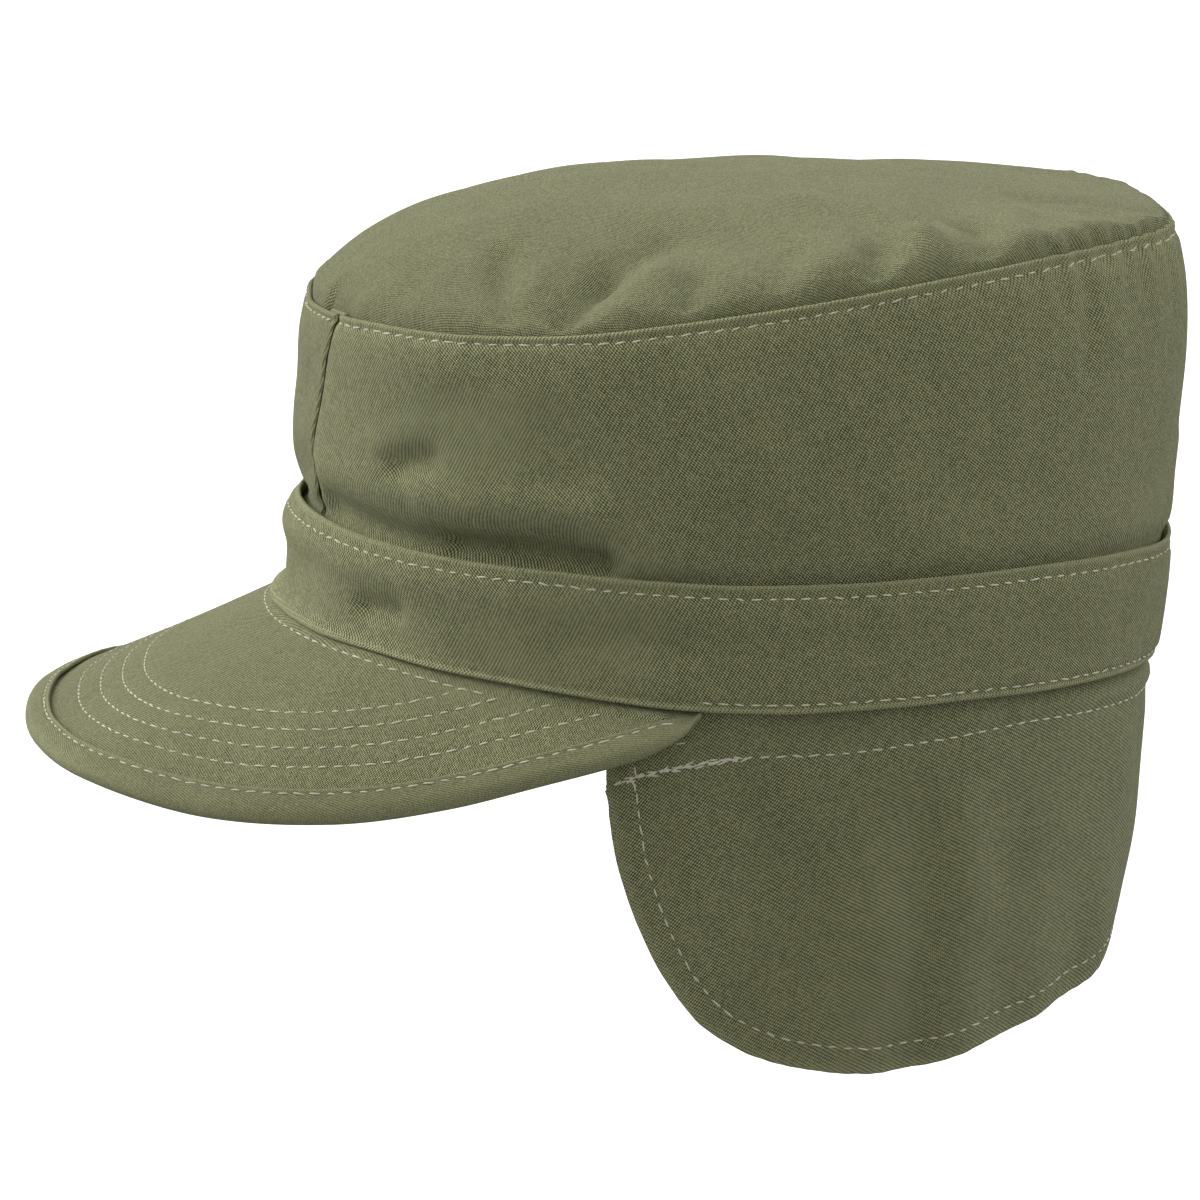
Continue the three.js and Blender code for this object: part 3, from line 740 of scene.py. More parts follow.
def flap_wall(angle, height, inside=None):
    """Outer face of the hanging flap."""
    angle, height = np.broadcast_arrays(np.asarray(angle, float), np.asarray(height, float))
    drop = seam_height("band_bottom", angle) - height
    inside = flap_edge_distance(angle, height) if inside is None else inside
    free = step((drop - 1) / 12)
    reach = oval_reach(FLAP_RINGS, drop, angle) - fold_depth(FLAP_FOLDS, angle, height) * free
    reach += FLAP_WAVE * unevenness(angle, height, seed=61) * free + rolled(HEM_RIM, inside)
    edge_pull = unevenness(angle * 5, height * 3, seed=71) * np.exp(-inside / 3.0)
    reach += puckers(angle, inside - HEM, *HEM_PUCKER) + 0.14 * edge_pull
    reach -= 0.26 * bump(height - flap_row_height(angle), 0.8) * step((drop - 2) / 3)
    return place(angle, reach, height)


# Meshes


def unit(vectors):
    return vectors / np.maximum(np.linalg.norm(vectors, axis=-1, keepdims=True), 1e-9)


def grid(down, across):
    """Two lists of values as the rows and columns of a grid."""
    return np.meshgrid(down, across, indexing="ij")


def stepped(*runs):
    """Values that run through several spans, each with its own number of steps."""
    return np.concatenate([np.linspace(*run)[:-1] for run in runs[:-1]] + [np.linspace(*runs[-1])])


def angles_between(start, stop, step_size=0.1):
    return np.linspace(start, stop, int(round((stop - start) / step_size)) + 1)


def end_columns(start, stop, step_size, run):
    """Angles from start to stop with four close together at each end."""
    inner = angles_between(start + run, stop - run, step_size)
    steps = np.array([0.0, 0.12, 0.35, 0.65]) * run
    return np.concatenate([start + steps, inner, (stop - steps)[::-1]])


def tapered_ends(angle, run):
    """Share of full thickness in each column, rounded off within run degrees of the ends."""
    t = np.clip(np.minimum(angle - angle[0], angle[-1] - angle) / run, 0.0, 1.0)
    return np.sqrt(np.maximum(1 - (1 - t) ** 2, 0.02))


def lengths(points, axis):
    """Distance run along one axis of a grid of points."""
    gap = np.linalg.norm(np.diff(points, axis=axis), axis=-1)
    start = np.zeros_like(np.take(gap, [0], axis=axis))
    return np.concatenate([start, np.cumsum(gap, axis=axis)], axis=axis)


def around(surface, angle):
    """Distance round a wall to each angle, measured halfway up it."""
    turn = np.linspace(-30, 390, 841)
    return np.interp(angle, turn, lengths(surface(turn, np.full(len(turn), 0.5)), 0))


def face_normals(points, wrapped, outward):
    """Unit normals of a grid of points, on the outward side."""
    whole = np.concatenate([points[:, -2:], points, points[:, :2]], 1) if wrapped else points
    normal = unit(np.cross(np.gradient(whole, axis=0), np.gradient(whole, axis=1)))
    normal = normal[:, 2:-2] if wrapped else normal
    return -normal if (normal * outward).sum() < 0 else normal


def thickened(points, thickness, wrapped, outward):
    """A closed profile for each column: the outer face, a rounded edge, the inner face, an edge.

    points is a grid of the outer face, a row for each step along the profile.
    """
    normal = face_normals(points, wrapped, outward)
    thickness = np.broadcast_to(thickness, points.shape[:2])[..., None]
    inner = points - normal * thickness
    edges = []
    for last, before in ((-1, -2), (0, 1)):
        line = points[last]
        whole = np.concatenate([line[-1:], line, line[:1]]) if wrapped else line
        course = np.gradient(whole, axis=0)[1:-1] if wrapped else np.gradient(whole, axis=0)
        past = unit(np.cross(normal[last], course))
        facing = ((line - points[before]) * past).sum(-1, keepdims=True)
        past = np.where(facing < 0, -past, past)
        middle, half = (line + inner[last]) / 2, thickness[last] / 2
        turns = np.radians((45, 90, 135) if last == -1 else (135, 90, 45))
        edges.append(
            [middle + half * (normal[last] * np.cos(t) + 0.8 * past * np.sin(t)) for t in turns]
        )
    return np.concatenate([points, edges[0], inner[::-1], edges[1]])


def grid_faces(down, across, count, width):
    """Faces of the first rows and columns of a grid of count by width points, which wraps round."""
    row, column = grid(np.arange(down), np.arange(across))
    below, beside = (row + 1) % count * width, (column + 1) % width
    corners = [row * width + column, row * width + beside, below + beside, below + column]
    return np.stack(corners, -1).reshape(-1, 4)


def both_ends(faces, width):
    """The same faces, given by their rows, over the first and the last column of a grid."""
    ends = np.array([0, width - 1])[:, None, None]
    return (np.array(faces) * width + ends).reshape(-1, len(faces[0]))


def closed_ends(count, width):
    """Faces over the two open ends of a closed profile, in pairs across its thickness."""
    inner, turn = 2 * count + 2, 2 * count + 6
    quads = [(row, row + 1, (inner - row - 1) % turn, inner - row) for row in range(count)]
    quads.append((0, inner + 3, inner + 1, inner))
    triangles = [(count, count + 1, count + 2), (inner + 3, inner + 2, inner + 1)]
    return [both_ends(quads, width), both_ends(triangles, width)]


def signed_volume(points, faces):
    total = 0.0
    for group in faces:
        corner = points[group]
        for k in range(1, group.shape[1] - 1):
            normal = np.cross(corner[:, k], corner[:, k + 1])
            total += (corner[:, 0] * normal).sum()
    return total


def put(name, data):
    """A new object of the scene."""
    made = bpy.data.objects.new(name, data)
    bpy.context.scene.collection.objects.link(made)
    return made


def build_mesh(name, points, groups, uvs=None, worn=None):
    """An object at the origin from points in millimetres and groups of faces of one size."""
    if signed_volume(points, groups) < 0:
        groups = [group[:, ::-1] for group in groups]
        uvs = None if uvs is None else [uv[:, ::-1] for uv in uvs]
    mesh = bpy.data.meshes.new(name)
    corner_counts = np.concatenate([np.full(len(group), group.shape[1]) for group in groups])
    corners = np.concatenate([group.ravel() for group in groups])
    starts = np.concatenate([[0], np.cumsum(corner_counts)[:-1]])
    mesh.vertices.add(len(points))
    mesh.vertices.foreach_set("co", (points * MM).astype(np.float32).ravel())
    mesh.loops.add(len(corners))
    mesh.loops.foreach_set("vertex_index", corners.astype(np.int32))
    mesh.polygons.add(len(starts))
    mesh.polygons.foreach_set("loop_start", starts.astype(np.int32))
    mesh.polygons.foreach_set("use_smooth", np.ones(len(starts), bool))
    if uvs is not None:
        flat = np.concatenate([uv.reshape(-1, 2) for uv in uvs])
        layer = mesh.uv_layers.new(name="Cloth")
        layer.data.foreach_set("uv", flat.astype(np.float32).ravel())
        layer = mesh.attributes.new("worn", "FLOAT", "POINT")
        layer.data.foreach_set("value", worn.astype(np.float32).ravel())
    mesh.update(calc_edges=True)
    mesh.validate()
    return put(name, mesh)


def laid_flat(points, laid):
    """Where the whole profile would lie on flat cloth, one more row than it has."""
    if laid is None:
        up, across = grid(lengths(points[:, points.shape[1] // 2], 0), lengths(points[len(points) // 2], 0))
    else:
        across, up = laid
    way = np.sign(up[-1:] - up[:1])
    turned = np.array([[0.4], [0.8], [1.2]])
    inner = up[-1:] + way * 1.6 + (up[-1:] - up[::-1])
    heel = inner[-1:] + way * turned
    up = np.concatenate([up, up[-1:] + way * turned, inner, heel, heel[-1:] + way * 0.4])
    edge, foot = np.repeat(across[-1:], 3, 0), np.repeat(across[:1], 4, 0)
    return np.stack([np.concatenate([across, edge, across[::-1], foot]), up], -1) / UV_SPAN


def cloth_piece(name, points, thickness, outward, worn, laid=None, wrapped=False):
    """A closed piece of cloth from a grid of its outer face."""
    profile = thickened(points, thickness, wrapped, outward)
    count, width = points.shape[:2]
    turn = len(profile)
    across = width if wrapped else width - 1
    flat = laid_flat(points, laid)
    groups = [grid_faces(turn, across, turn, width)]
    uvs = [flat.reshape(-1, 2)[grid_faces(turn, across, *flat.shape[:2])]]
    if not wrapped:
        caps = closed_ends(count, width)
        groups += caps
        uvs += [flat[cap // width, cap % width] for cap in caps]
    wear = np.zeros((turn, width))
    wear[:count] = worn
    wear[count : count + 3] = worn[-1]
    wear[2 * count + 3 :] = worn[0]
    return build_mesh(name, profile.reshape(-1, 3), groups, uvs, wear)


def finish_piece(piece, nodes, material):
    """Hangs a piece on the frame, hides the parts that it takes the place of and gives it its cloth."""
    piece.data.materials.append(material)
    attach(piece, "root")
    if nodes:
        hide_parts(*nodes)
    return {"FINISHED"}


# Stitches


def select_nothing():
    for other in bpy.context.selected_objects:
        other.select_set(False)


def stitch_model():
    """One lockstitch: a short thread that dips into the cloth at both ends."""
    sizes = bpy.context.scene.cap_sizes
    length, width = sizes.stitch_length, sizes.thread_width
    select_nothing()
    bpy.ops.mesh.primitive_cylinder_add(vertices=7, radius=0.5, depth=1.0, end_fill_type="TRIFAN")
    stitch = bpy.context.object
    stitch.name = "stitch_model"
    bpy.ops.object.mode_set(mode="EDIT")
    bpy.ops.mesh.select_all(action="SELECT")
    bpy.ops.transform.rotate(value=math.radians(90), orient_axis="Y", center_override=(0, 0, 0))
    for cut in (-0.3, 0.0, 0.3):
        bpy.ops.mesh.select_all(action="SELECT")
        bpy.ops.mesh.bisect(plane_co=(cut, 0, 0), plane_no=(1, 0, 0))
    bpy.ops.object.mode_set(mode="OBJECT")
    for vertex in stitch.data.vertices:
        along = vertex.co.x
        slim = math.sqrt(max(0.12, 1 - (2 * abs(along)) ** 3))
        vertex.co.x = along * length
        vertex.co.y *= width * slim
        vertex.co.z = vertex.co.z * width * 0.75 * slim - 3.0 * along**4 * width
    points = np.array([vertex.co[:] for vertex in stitch.data.vertices]) / MM
    faces = [tuple(polygon.vertices) for polygon in stitch.data.polygons]
    bpy.data.objects.remove(stitch)
    return points, faces


def row_of_spots(points, normals, pitch):
    """Middle, direction and normal of each stitch along a line of points."""
    run = lengths(points, 0)
    middle = np.arange(pitch / 2, run[-1] - pitch / 3, pitch)

    def at(values, where):
        return np.stack([np.interp(where, run, values[:, axis]) for axis in range(3)], -1)

    course = unit(at(points, middle + 0.4) - at(points, middle - 0.4))
    normal = at(normals, middle)
    normal = unit(normal - course * (normal * course).sum(-1, keepdims=True))
    return at(points, middle), course, normal


def surface_line(surface, first, second, outward=None, nudges=(0.05, 0.05)):
    """Points of a surface along two running parameters, with the surface's normals there."""
    along = surface(first + nudges[0], second) - surface(first - nudges[0], second)
    across = surface(first, second + nudges[1]) - surface(first, second - nudges[1])
    normal = unit(np.cross(along, across))
    guide = place(first, 1.0, 0.35) if outward is None else np.asarray(outward, float)
    facing = (normal * guide).sum(-1, keepdims=True)
    return surface(first, second), np.where(facing < 0, -normal, normal)


def stitched(name, lines, seed, slant=0.0):
    """All the stitches of one part as one piece.

    A line is its points and normals, and may add its own pitch and slant.
    """
    model, faces = stitch_model()
    dice = np.random.default_rng(seed)
    points, triangles, quads = [], [], []
    total = 0
    for line, normals, *own in lines:
        pitch, lean = own or (size("stitch_pitch"), slant)
        spots, course, normal = row_of_spots(line, normals, pitch)
        side = np.cross(normal, course)
        sway = np.radians(dice.normal(lean, STITCH_SWAY, len(spots)))[:, None]
        stretch = dice.uniform(*STITCH_STRETCH, len(spots))[:, None, None]
        turned = course * np.cos(sway) + side * np.sin(sway)
        beside = side * np.cos(sway) - course * np.sin(sway)
        high = STITCH_LIFT + dice.uniform(*STITCH_LIFT_SPREAD, len(spots))[:, None]
        sewn = (
            (spots + normal * high)[:, None, :]
            + model[None, :, :1] * turned[:, None, :] * stretch
            + model[None, :, 1:2] * beside[:, None, :]
            + model[None, :, 2:3] * normal[:, None, :]
        )
        points.append(sewn.reshape(-1, 3))
        starts = total + np.arange(len(spots))[:, None] * len(model)
        for face in faces:
            group = triangles if len(face) == 3 else quads
            group.append(starts + np.array(face)[None, :])
        total += len(spots) * len(model)
    piece = build_mesh(name, np.concatenate(points), [np.concatenate(quads), np.concatenate(triangles)])
    return finish_piece(piece, (), thread_material())


# Materials


def node(tree, kind, inputs=None, **settings):
    """A new node. Its inputs take a number, a colour or another node's socket."""
    made = tree.nodes.new(kind)
    for name, value in settings.items():
        setattr(made, name, value)
    feed(tree, made, inputs or {})
    return made


def feed(tree, made, inputs):
    for key, value in inputs.items():
        if isinstance(value, bpy.types.NodeSocket):
            tree.links.new(value, made.inputs[key])
        else:
            made.inputs[key].default_value = value


def maths(tree, operation, *inputs, clamp=False):
    made = node(tree, "ShaderNodeMath", dict(enumerate(inputs)), operation=operation, use_clamp=clamp)
    return made.outputs[0]


def mixed(tree, share, first, second, blend="MIX"):
    """A colour between two others."""
    inputs = {"Factor": share, 6: first, 7: second}
    return node(tree, "ShaderNodeMix", inputs, data_type="RGBA", blend_type=blend).outputs[2]


def twill_group():
    """Olive twill: diagonal wales crossed by single yarns, each a little lighter or darker."""
    if "Twill" in bpy.data.node_groups:
        return bpy.data.node_groups["Twill"]
    tree = bpy.data.node_groups.new("Twill", "ShaderNodeTree")
    for way, kind, names in (
        ("INPUT", "Vector", ("Cloth",)),
        ("INPUT", "Float", ("Worn", "Wale Pitch", "Wale Angle", "Contrast")),
        ("INPUT", "Color", ("Dark Yarn", "Pale Yarn", "Warm Yarn")),
        ("OUTPUT", "Color", ("Colour",)),
        ("OUTPUT", "Float", ("Roughness", "Height")),
    ):
        for name in names:
            tree.interface.new_socket(name=name, in_out=way, socket_type="NodeSocket" + kind)
    given = node(tree, "NodeGroupInput").outputs
    worn, pitch, angle = given["Worn"], given["Wale Pitch"], given["Wale Angle"]
    times = partial(maths, tree, "MULTIPLY")
    times_plus = partial(maths, tree, "MULTIPLY_ADD")
    in_millimetres = node(
        tree, "ShaderNodeVectorMath", {0: given["Cloth"], 1: (UV_SPAN,) * 3}, operation="MULTIPLY"
    ).outputs[0]
    parts = node(tree, "ShaderNodeSeparateXYZ", {0: in_millimetres})

    def noise(scale, detail):
        """A noise whose scale is counted per millimetre of cloth."""
        inputs = {"Vector": in_millimetres, "Scale": scale, "Detail": detail, "Roughness": 0.55}
        return node(tree, "ShaderNodeTexNoise", inputs, noise_dimensions="2D").outputs["Fac"]

    def along_line(angle):
        """Distance over the cloth at right angles to lines that lean by an angle."""
        lean = maths(tree, "RADIANS", angle)
        right = times(parts.outputs[0], maths(tree, "COSINE", lean))
        return times_plus(parts.outputs[1], maths(tree, "SINE", lean), right)

    def ridge(run):
        """A rounded ridge over each whole number."""
        return maths(tree, "SINE", times(maths(tree, "FRACT", run), math.pi))

    def added(total, *masks):
        """The total plus each mask's distance from its middle, times an amount."""
        for source, middle, amount in masks:
            total = times_plus(maths(tree, "SUBTRACT", source, middle), amount, total)
        return total

    slow, medium, fuzz = noise(0.03, 2.0), noise(0.14, 3.0), noise(3.0, 1.0)
    wale = maths(tree, "DIVIDE", along_line(times(angle, -1.0)), pitch)
    wale = times_plus(slow, 0.3, wale)
    yarn = maths(tree, "DIVIDE", along_line(maths(tree, "SUBTRACT", 81.0, angle)), times(pitch, 0.7))
    yarn = times_plus(medium, 0.25, yarn)
    cell = {0: maths(tree, "FLOOR", wale), 1: maths(tree, "FLOOR", yarn)}
    cell = node(tree, "ShaderNodeCombineXYZ", cell).outputs[0]
    chance = node(tree, "ShaderNodeTexWhiteNoise", {"Vector": cell}, noise_dimensions="2D").outputs
    hue = node(tree, "ShaderNodeSeparateColor", {0: chance["Color"]}).outputs
    weave = times(ridge(yarn), times_plus(ridge(wale), 0.72, 0.28))
    shade = added(0.0, (chance["Value"], 0.5, 0.2), (weave, 0.47, 0.85), (fuzz, 0.5, 0.55))
    shade = times_plus(shade, given["Contrast"], 0.5)
    shade = added(shade, (medium, 0.5, 0.1), (slow, 0.5, 0.14))
    ticks = times(maths(tree, "SINE", times(wale, 2 * math.pi)), worn)
    shade = times_plus(ticks, 0.65, times_plus(worn, 0.62, shade), clamp=True)
    colour = mixed(tree, shade, given["Dark Yarn"], given["Pale Yarn"])
    results = {
        "Colour": mixed(tree, times(hue[0], hue[1]), colour, given["Warm Yarn"], "MULTIPLY"),
        "Roughness": times_plus(shade, -0.12, 0.94),
        "Height": times_plus(ticks, 0.9, times_plus(fuzz, 0.5, weave)),
    }
    node(tree, "NodeGroupOutput", results)
    return tree


def new_material(name):
    """A material with its node tree and shader."""
    material = bpy.data.materials.new(name)
    material.use_nodes = True
    return material, material.node_tree, material.node_tree.nodes["Principled BSDF"]


def tinted(colour, tint=1.0):
    return [channel * tint for channel in colour] + [1]


def twill_material(part):
    """The cap's twill, its diagonal turned as that part was cut and its tint set for that part, partly as
    painted light and shade.
    """
    slant, tint, contrast, fineness = TWILLS[part]
    colours = bpy.context.scene.cap_colours
    material, tree, shader = new_material("twill_" + part)
    inputs = {
        "Cloth": node(tree, "ShaderNodeUVMap", uv_map="Cloth").outputs["UV"],
        "Worn": node(tree, "ShaderNodeAttribute", attribute_name="worn").outputs["Fac"],
        "Wale Pitch": colours.wale_pitch / MM * fineness,
        "Wale Angle": slant,
        "Contrast": contrast,
        # The part's tint lightens or darkens both yarns, partly as painted light and shade.
        "Dark Yarn": tinted(colours.dark_yarn, tint),
        "Pale Yarn": tinted(colours.pale_yarn, tint),
        "Warm Yarn": tinted(colours.warm_yarn),
    }
    cloth = node(tree, "ShaderNodeGroup", node_tree=twill_group())
    feed(tree, cloth, inputs)
    raised = {"Strength": 0.75 + 0.1 * contrast, "Distance": 0.0003, "Height": cloth.outputs["Height"]}
    feed(tree, shader, {
        "Base Color": cloth.outputs["Colour"],
        "Roughness": cloth.outputs["Roughness"],
        "Normal": node(tree, "ShaderNodeBump", raised).outputs["Normal"],
        "Specular IOR Level": 0.18,
        "Sheen Weight": 0.12,
        "Sheen Roughness": 0.5,
    })
    return material


def thread_material():
    """Pale khaki sewing thread with a fine twist."""
    name = "khaki_thread"
    if name in bpy.data.materials:
        return bpy.data.materials[name]
    thread = bpy.context.scene.cap_colours.thread
    material, tree, shader = new_material(name)
    spot = node(tree, "ShaderNodeTexCoord").outputs["Object"]
    grain, patch = (
        node(tree, "ShaderNodeTexNoise", {"Vector": spot, "Scale": scale, "Detail": detail}).outputs["Fac"]
        for scale, detail in ((1400.0, 1.0), (60.0, 2.0))
    )
    blend = maths(tree, "MULTIPLY_ADD", patch, 0.8, -0.2)
    blend = maths(tree, "MULTIPLY_ADD", grain, 0.5, blend, clamp=True)
    raised = node(tree, "ShaderNodeBump", {"Strength": 0.4, "Distance": 0.0001, "Height": grain})
    feed(tree, shader, {
        "Base Color": mixed(tree, blend, tinted(thread, 0.55), tinted(thread)),
        "Normal": raised.outputs["Normal"],
        "Roughness": 0.7,
    })
    return material


# Sizes and colours that a user may change


class CapSizes(bpy.types.PropertyGroup):
    crown_cloth: bpy.props.FloatProperty(
        name="Crown cloth", description="Thickness of the crown's wall", default=0.0013, unit="LENGTH"
    )
    band_cloth: bpy.props.FloatProperty(
        name="Band cloth", description="Thickness of the band", default=0.0019, unit="LENGTH"
    )
    flap_cloth: bpy.props.FloatProperty(
        name="Flap cloth", description="Thickness of the flap", default=0.0016, unit="LENGTH"
    )
    binding_cloth: bpy.props.FloatProperty(
        name="Binding cloth", description="Thickness of the binding", default=0.0009, unit="LENGTH"
    )
    pucker: bpy.props.FloatProperty(
        name="Pucker", description="How far stitches draw the cloth in", default=0.00021, unit="LENGTH"
    )
    stitch_pitch: bpy.props.FloatProperty(
        name="Stitch pitch", description="From one stitch to the next", default=0.0037, unit="LENGTH"
    )
    stitch_length: bpy.props.FloatProperty(
        name="Stitch length", description="Length of one stitch", default=0.0025, unit="LENGTH"
    )
    thread_width: bpy.props.FloatProperty(
        name="Thread width", description="Thickness of the thread", default=0.00045, unit="LENGTH"
    )


class CapColours(bpy.types.PropertyGroup):
    dark_yarn: bpy.props.FloatVectorProperty(
        name="Dark yarn", description="Darkest yarn of the twill", subtype="COLOR",
        default=(0.035, 0.042, 0.012), min=0, max=1,
    )
    pale_yarn: bpy.props.FloatVectorProperty(
        name="Pale yarn", description="Palest yarn of the twill", subtype="COLOR",
        default=(0.413, 0.423, 0.238), min=0, max=1,
    )
    warm_yarn: bpy.props.FloatVectorProperty(
        name="Warm yarn", description="Tint of the yarns that took the dye less", subtype="COLOR",
        default=(1.0, 0.94, 0.82), min=0, max=1,
    )
    thread: bpy.props.FloatVectorProperty(
        name="Thread", description="Colour of the sewing thread", subtype="COLOR",
        default=(0.9, 0.88, 0.68), min=0, max=1,
    )
    wale_pitch: bpy.props.FloatProperty(
        name="Wale pitch", description="Width of one twill diagonal", default=0.00076, unit="LENGTH"
    )


class CapStage(bpy.types.PropertyGroup):
    azimuth: bpy.props.FloatProperty(
        name="Azimuth", description="Camera's angle round the cap", default=math.radians(87.0),
        subtype="ANGLE",
    )
    elevation: bpy.props.FloatProperty(
        name="Elevation", description="Camera's angle above level", default=math.radians(12.6),
        subtype="ANGLE",
    )
    distance: bpy.props.FloatProperty(
        name="Distance", description="Camera's distance from the cap", default=1.3, unit="LENGTH"
    )
    lens: bpy.props.FloatProperty(
        name="Lens", description="Camera's focal length in mm", default=164.42
    )
    floor_height: bpy.props.FloatProperty(
        name="Floor height", description="Height of the floor", default=-0.19, unit="LENGTH"
    )
    key_light: bpy.props.FloatProperty(
        name="Key light", description="Strength of the soft light ahead of the visor", default=2.45
    )
    back_light: bpy.props.FloatProperty(
        name="Back light", description="Strength of the soft light behind the cap", default=0.9
    )
    fill_light: bpy.props.FloatProperty(
        name="Fill light", description="Strength of the light from all round", default=0.56
    )


# Operators


class CAP_OT_crown_top(bpy.types.Operator):
    """Soft domed top with its folds, turned down inside the walls."""

    bl_idname = "cap.crown_top"
    bl_label = "Crown Top"

    def execute(self, context):
        thickness = size("crown_cloth")
        angle = np.arange(0, 360, 0.6)
        share, turn = grid(np.append(np.linspace(0, 0.9, 62)[1:], np.linspace(0.91, 1.0, 14)), angle)
        seam = seam_height("top_seam", angle)
        hem = [
            place(angle, crown_inside(angle, down) - inward, seam - down)
            for down, inward in TOP_HEM
        ]
        face = np.concatenate([domed_top(turn, share), hem])
        inner = face - face_normals(face, True, (0, 0, 1)) * thickness
        edge = (face[-1] + inner[-1]) / 2 - (0, 0, thickness / 2)
        shell = np.concatenate([face, [edge], inner[::-1]])
        count, width = shell.shape[:2]
        crest = domed_top(np.zeros(1), np.zeros(1))[0]
        points = np.concatenate([shell.reshape(-1, 3), [crest, crest - (0, 0, thickness)]])
        ring, following = np.arange(width), (np.arange(width) + 1) % width
        last = (count - 1) * width
        fans = [
            np.stack([np.full(width, count * width), following, ring], -1),
            np.stack([np.full(width, count * width + 1), last + ring, last + following], -1),
        ]
        groups = [grid_faces(count - 1, width, count, width), np.concatenate(fans)]
        run = lengths(np.concatenate([np.broadcast_to(crest, shell[:1].shape), shell]), 0)[1:]
        flat = np.append(place(angle, run, 0.0)[..., :2].reshape(-1, 2), np.zeros((2, 2)), 0) / UV_SPAN
        uvs = [flat[group] for group in groups]
        piece = build_mesh("crown_top_cloth", points, groups, uvs, np.zeros(len(points)))
        return finish_piece(piece, ["crown_top"], twill_material("top"))


def crown_shares():
    """Steps up the crown wall, close together at its foot and at its rim."""
    return stepped((-0.14, 0.0, 4), (0, 0.9, 38), (0.9, 0.99, 13))


def crown_laid(angle, share):
    """Where spots of the crown wall lie on flat cloth."""
    return around(crown_wall, angle), share * crown_height(angle)


class CAP_OT_crown_side(bpy.types.Operator):
    """Side wall of the crown, tucked under the front panel at both pleats."""

    bl_idname = "cap.crown_side"
    bl_label = "Crown Side"

    def execute(self, context):
        share, run = grid(crown_shares(), np.linspace(0, 1, 621))
        start = pleat_angle(share) - PLEAT_UNDERLAP
        angle = start + (360 - 2 * start) * run
        piece = cloth_piece(
            "crown_side_cloth", side_wall(angle, share), size("crown_cloth"), place(angle, 1.0, 0.0),
            rolled(SIDE_WEAR, (1 - share) * SIDE_TALL), crown_laid(angle, share),
        )
        return finish_piece(piece, ["crown_side"], twill_material("side"))


class CAP_OT_crown_front(bpy.types.Operator):
    """Front panel of the crown with a rounded fold down each side."""

    bl_idname = "cap.crown_front"
    bl_label = "Crown Front"

    def execute(self, context):
        thickness = size("crown_cloth")
        run = end_columns(-1.0, 1.0, 0.028, 0.035)
        full = tapered_ends(run, 0.035)
        share, run = grid(crown_shares(), run)
        angle = run * pleat_angle(share)
        outward = place(angle, 1.0, 0.0)
        crimp = 0.12 * np.sin(share * 37 + 2) + 0.1 * np.sin(share * 71)
        crimp = crimp * np.sign(run) * step((np.abs(run) - 0.8) / 0.2)
        face = crown_wall(angle, share) - outward * (0.55 * thickness * (1 - full))[None, :, None]
        face = face + place(angle + 90, 1.0, 0.0) * crimp[..., None]
        worn = rolled(FRONT_WEAR, (1 - share) * FRONT_TALL) + 0.5 * step((np.abs(run) - 0.94) / 0.06)
        laid = crown_laid(angle, share)
        piece = cloth_piece("crown_front_cloth", face, thickness * full, outward, worn, laid)
        return finish_piece(piece, ["crown_front"], twill_material("front"))


class CAP_OT_band(bpy.types.Operator):
    """Raised band with turned edges, puckered where its rows of stitches run."""

    bl_idname = "cap.band"
    bl_label = "Band"

    def execute(self, context):
        steps = stepped((0.015, 0.14, 11), (0.14, 0.82, 20), (0.82, 0.985, 13))
        share, angle = grid(steps, np.arange(0, 360, 0.5))
        up, down = share * BAND_TALL, (1 - share) * BAND_TALL
        worn = rolled(BAND_UPPER_WEAR, down) + rolled(BAND_LOWER_WEAR, up)
        wall = size("band_cloth") * (0.5 + 0.5 * step(np.minimum(up, down) / 3.5))
        whole_share, whole = grid(steps, np.arange(0, 360.5, 0.5))
        laid = (around(band_wall, whole), whole_share * band_height(whole))
        outward = place(angle, 1.0, 0.0)
        piece = cloth_piece("band_cloth", band_wall(angle, share), wall, outward, worn, laid, True)
        return finish_piece(piece, ["band"], twill_material("band"))


class CAP_OT_visor(bpy.types.Operator):
    """Stiffened visor with its quilted rows."""

    bl_idname = "cap.visor"
    bl_label = "Visor"

    def execute(self, context):
        angle = end_columns(-VISOR_END + 0.2, VISOR_END - 0.2, 0.55, 0.6)
        length = visor_line(angle)["length"]
        share = np.linspace(0, 1, 88)[:, None]
        nose = np.minimum(1.5, 0.3 * length)
        inward = (length - nose) * (1 - share) + nose
        turn = np.broadcast_to(angle, inward.shape)
        top, under = visor_face(turn, inward), visor_face(turn, inward, under=True)
        middle = (top + under) / 2
        profile = np.concatenate([top, middle[-1:], under[::-1], middle[:1]])
        count, width = profile.shape[:2]
        half = len(top)
        caps = [(k, k + 1, 2 * half - 1 - k, 2 * half - k) for k in range(half - 1)]
        tips = [(half - 1, half, half + 1), (0, 2 * half, 2 * half + 1)]
        quads = np.concatenate([grid_faces(count, width - 1, count, width), both_ends(caps, width)])
        groups = [quads, both_ends(tips, width)]
        points = profile.reshape(-1, 3)
        uvs = [points[group][..., :2] / UV_SPAN for group in groups]
        piece = build_mesh("visor_cloth", points, groups, uvs, np.zeros(len(points)))
        return finish_piece(piece, ["visor"], twill_material("visor"))


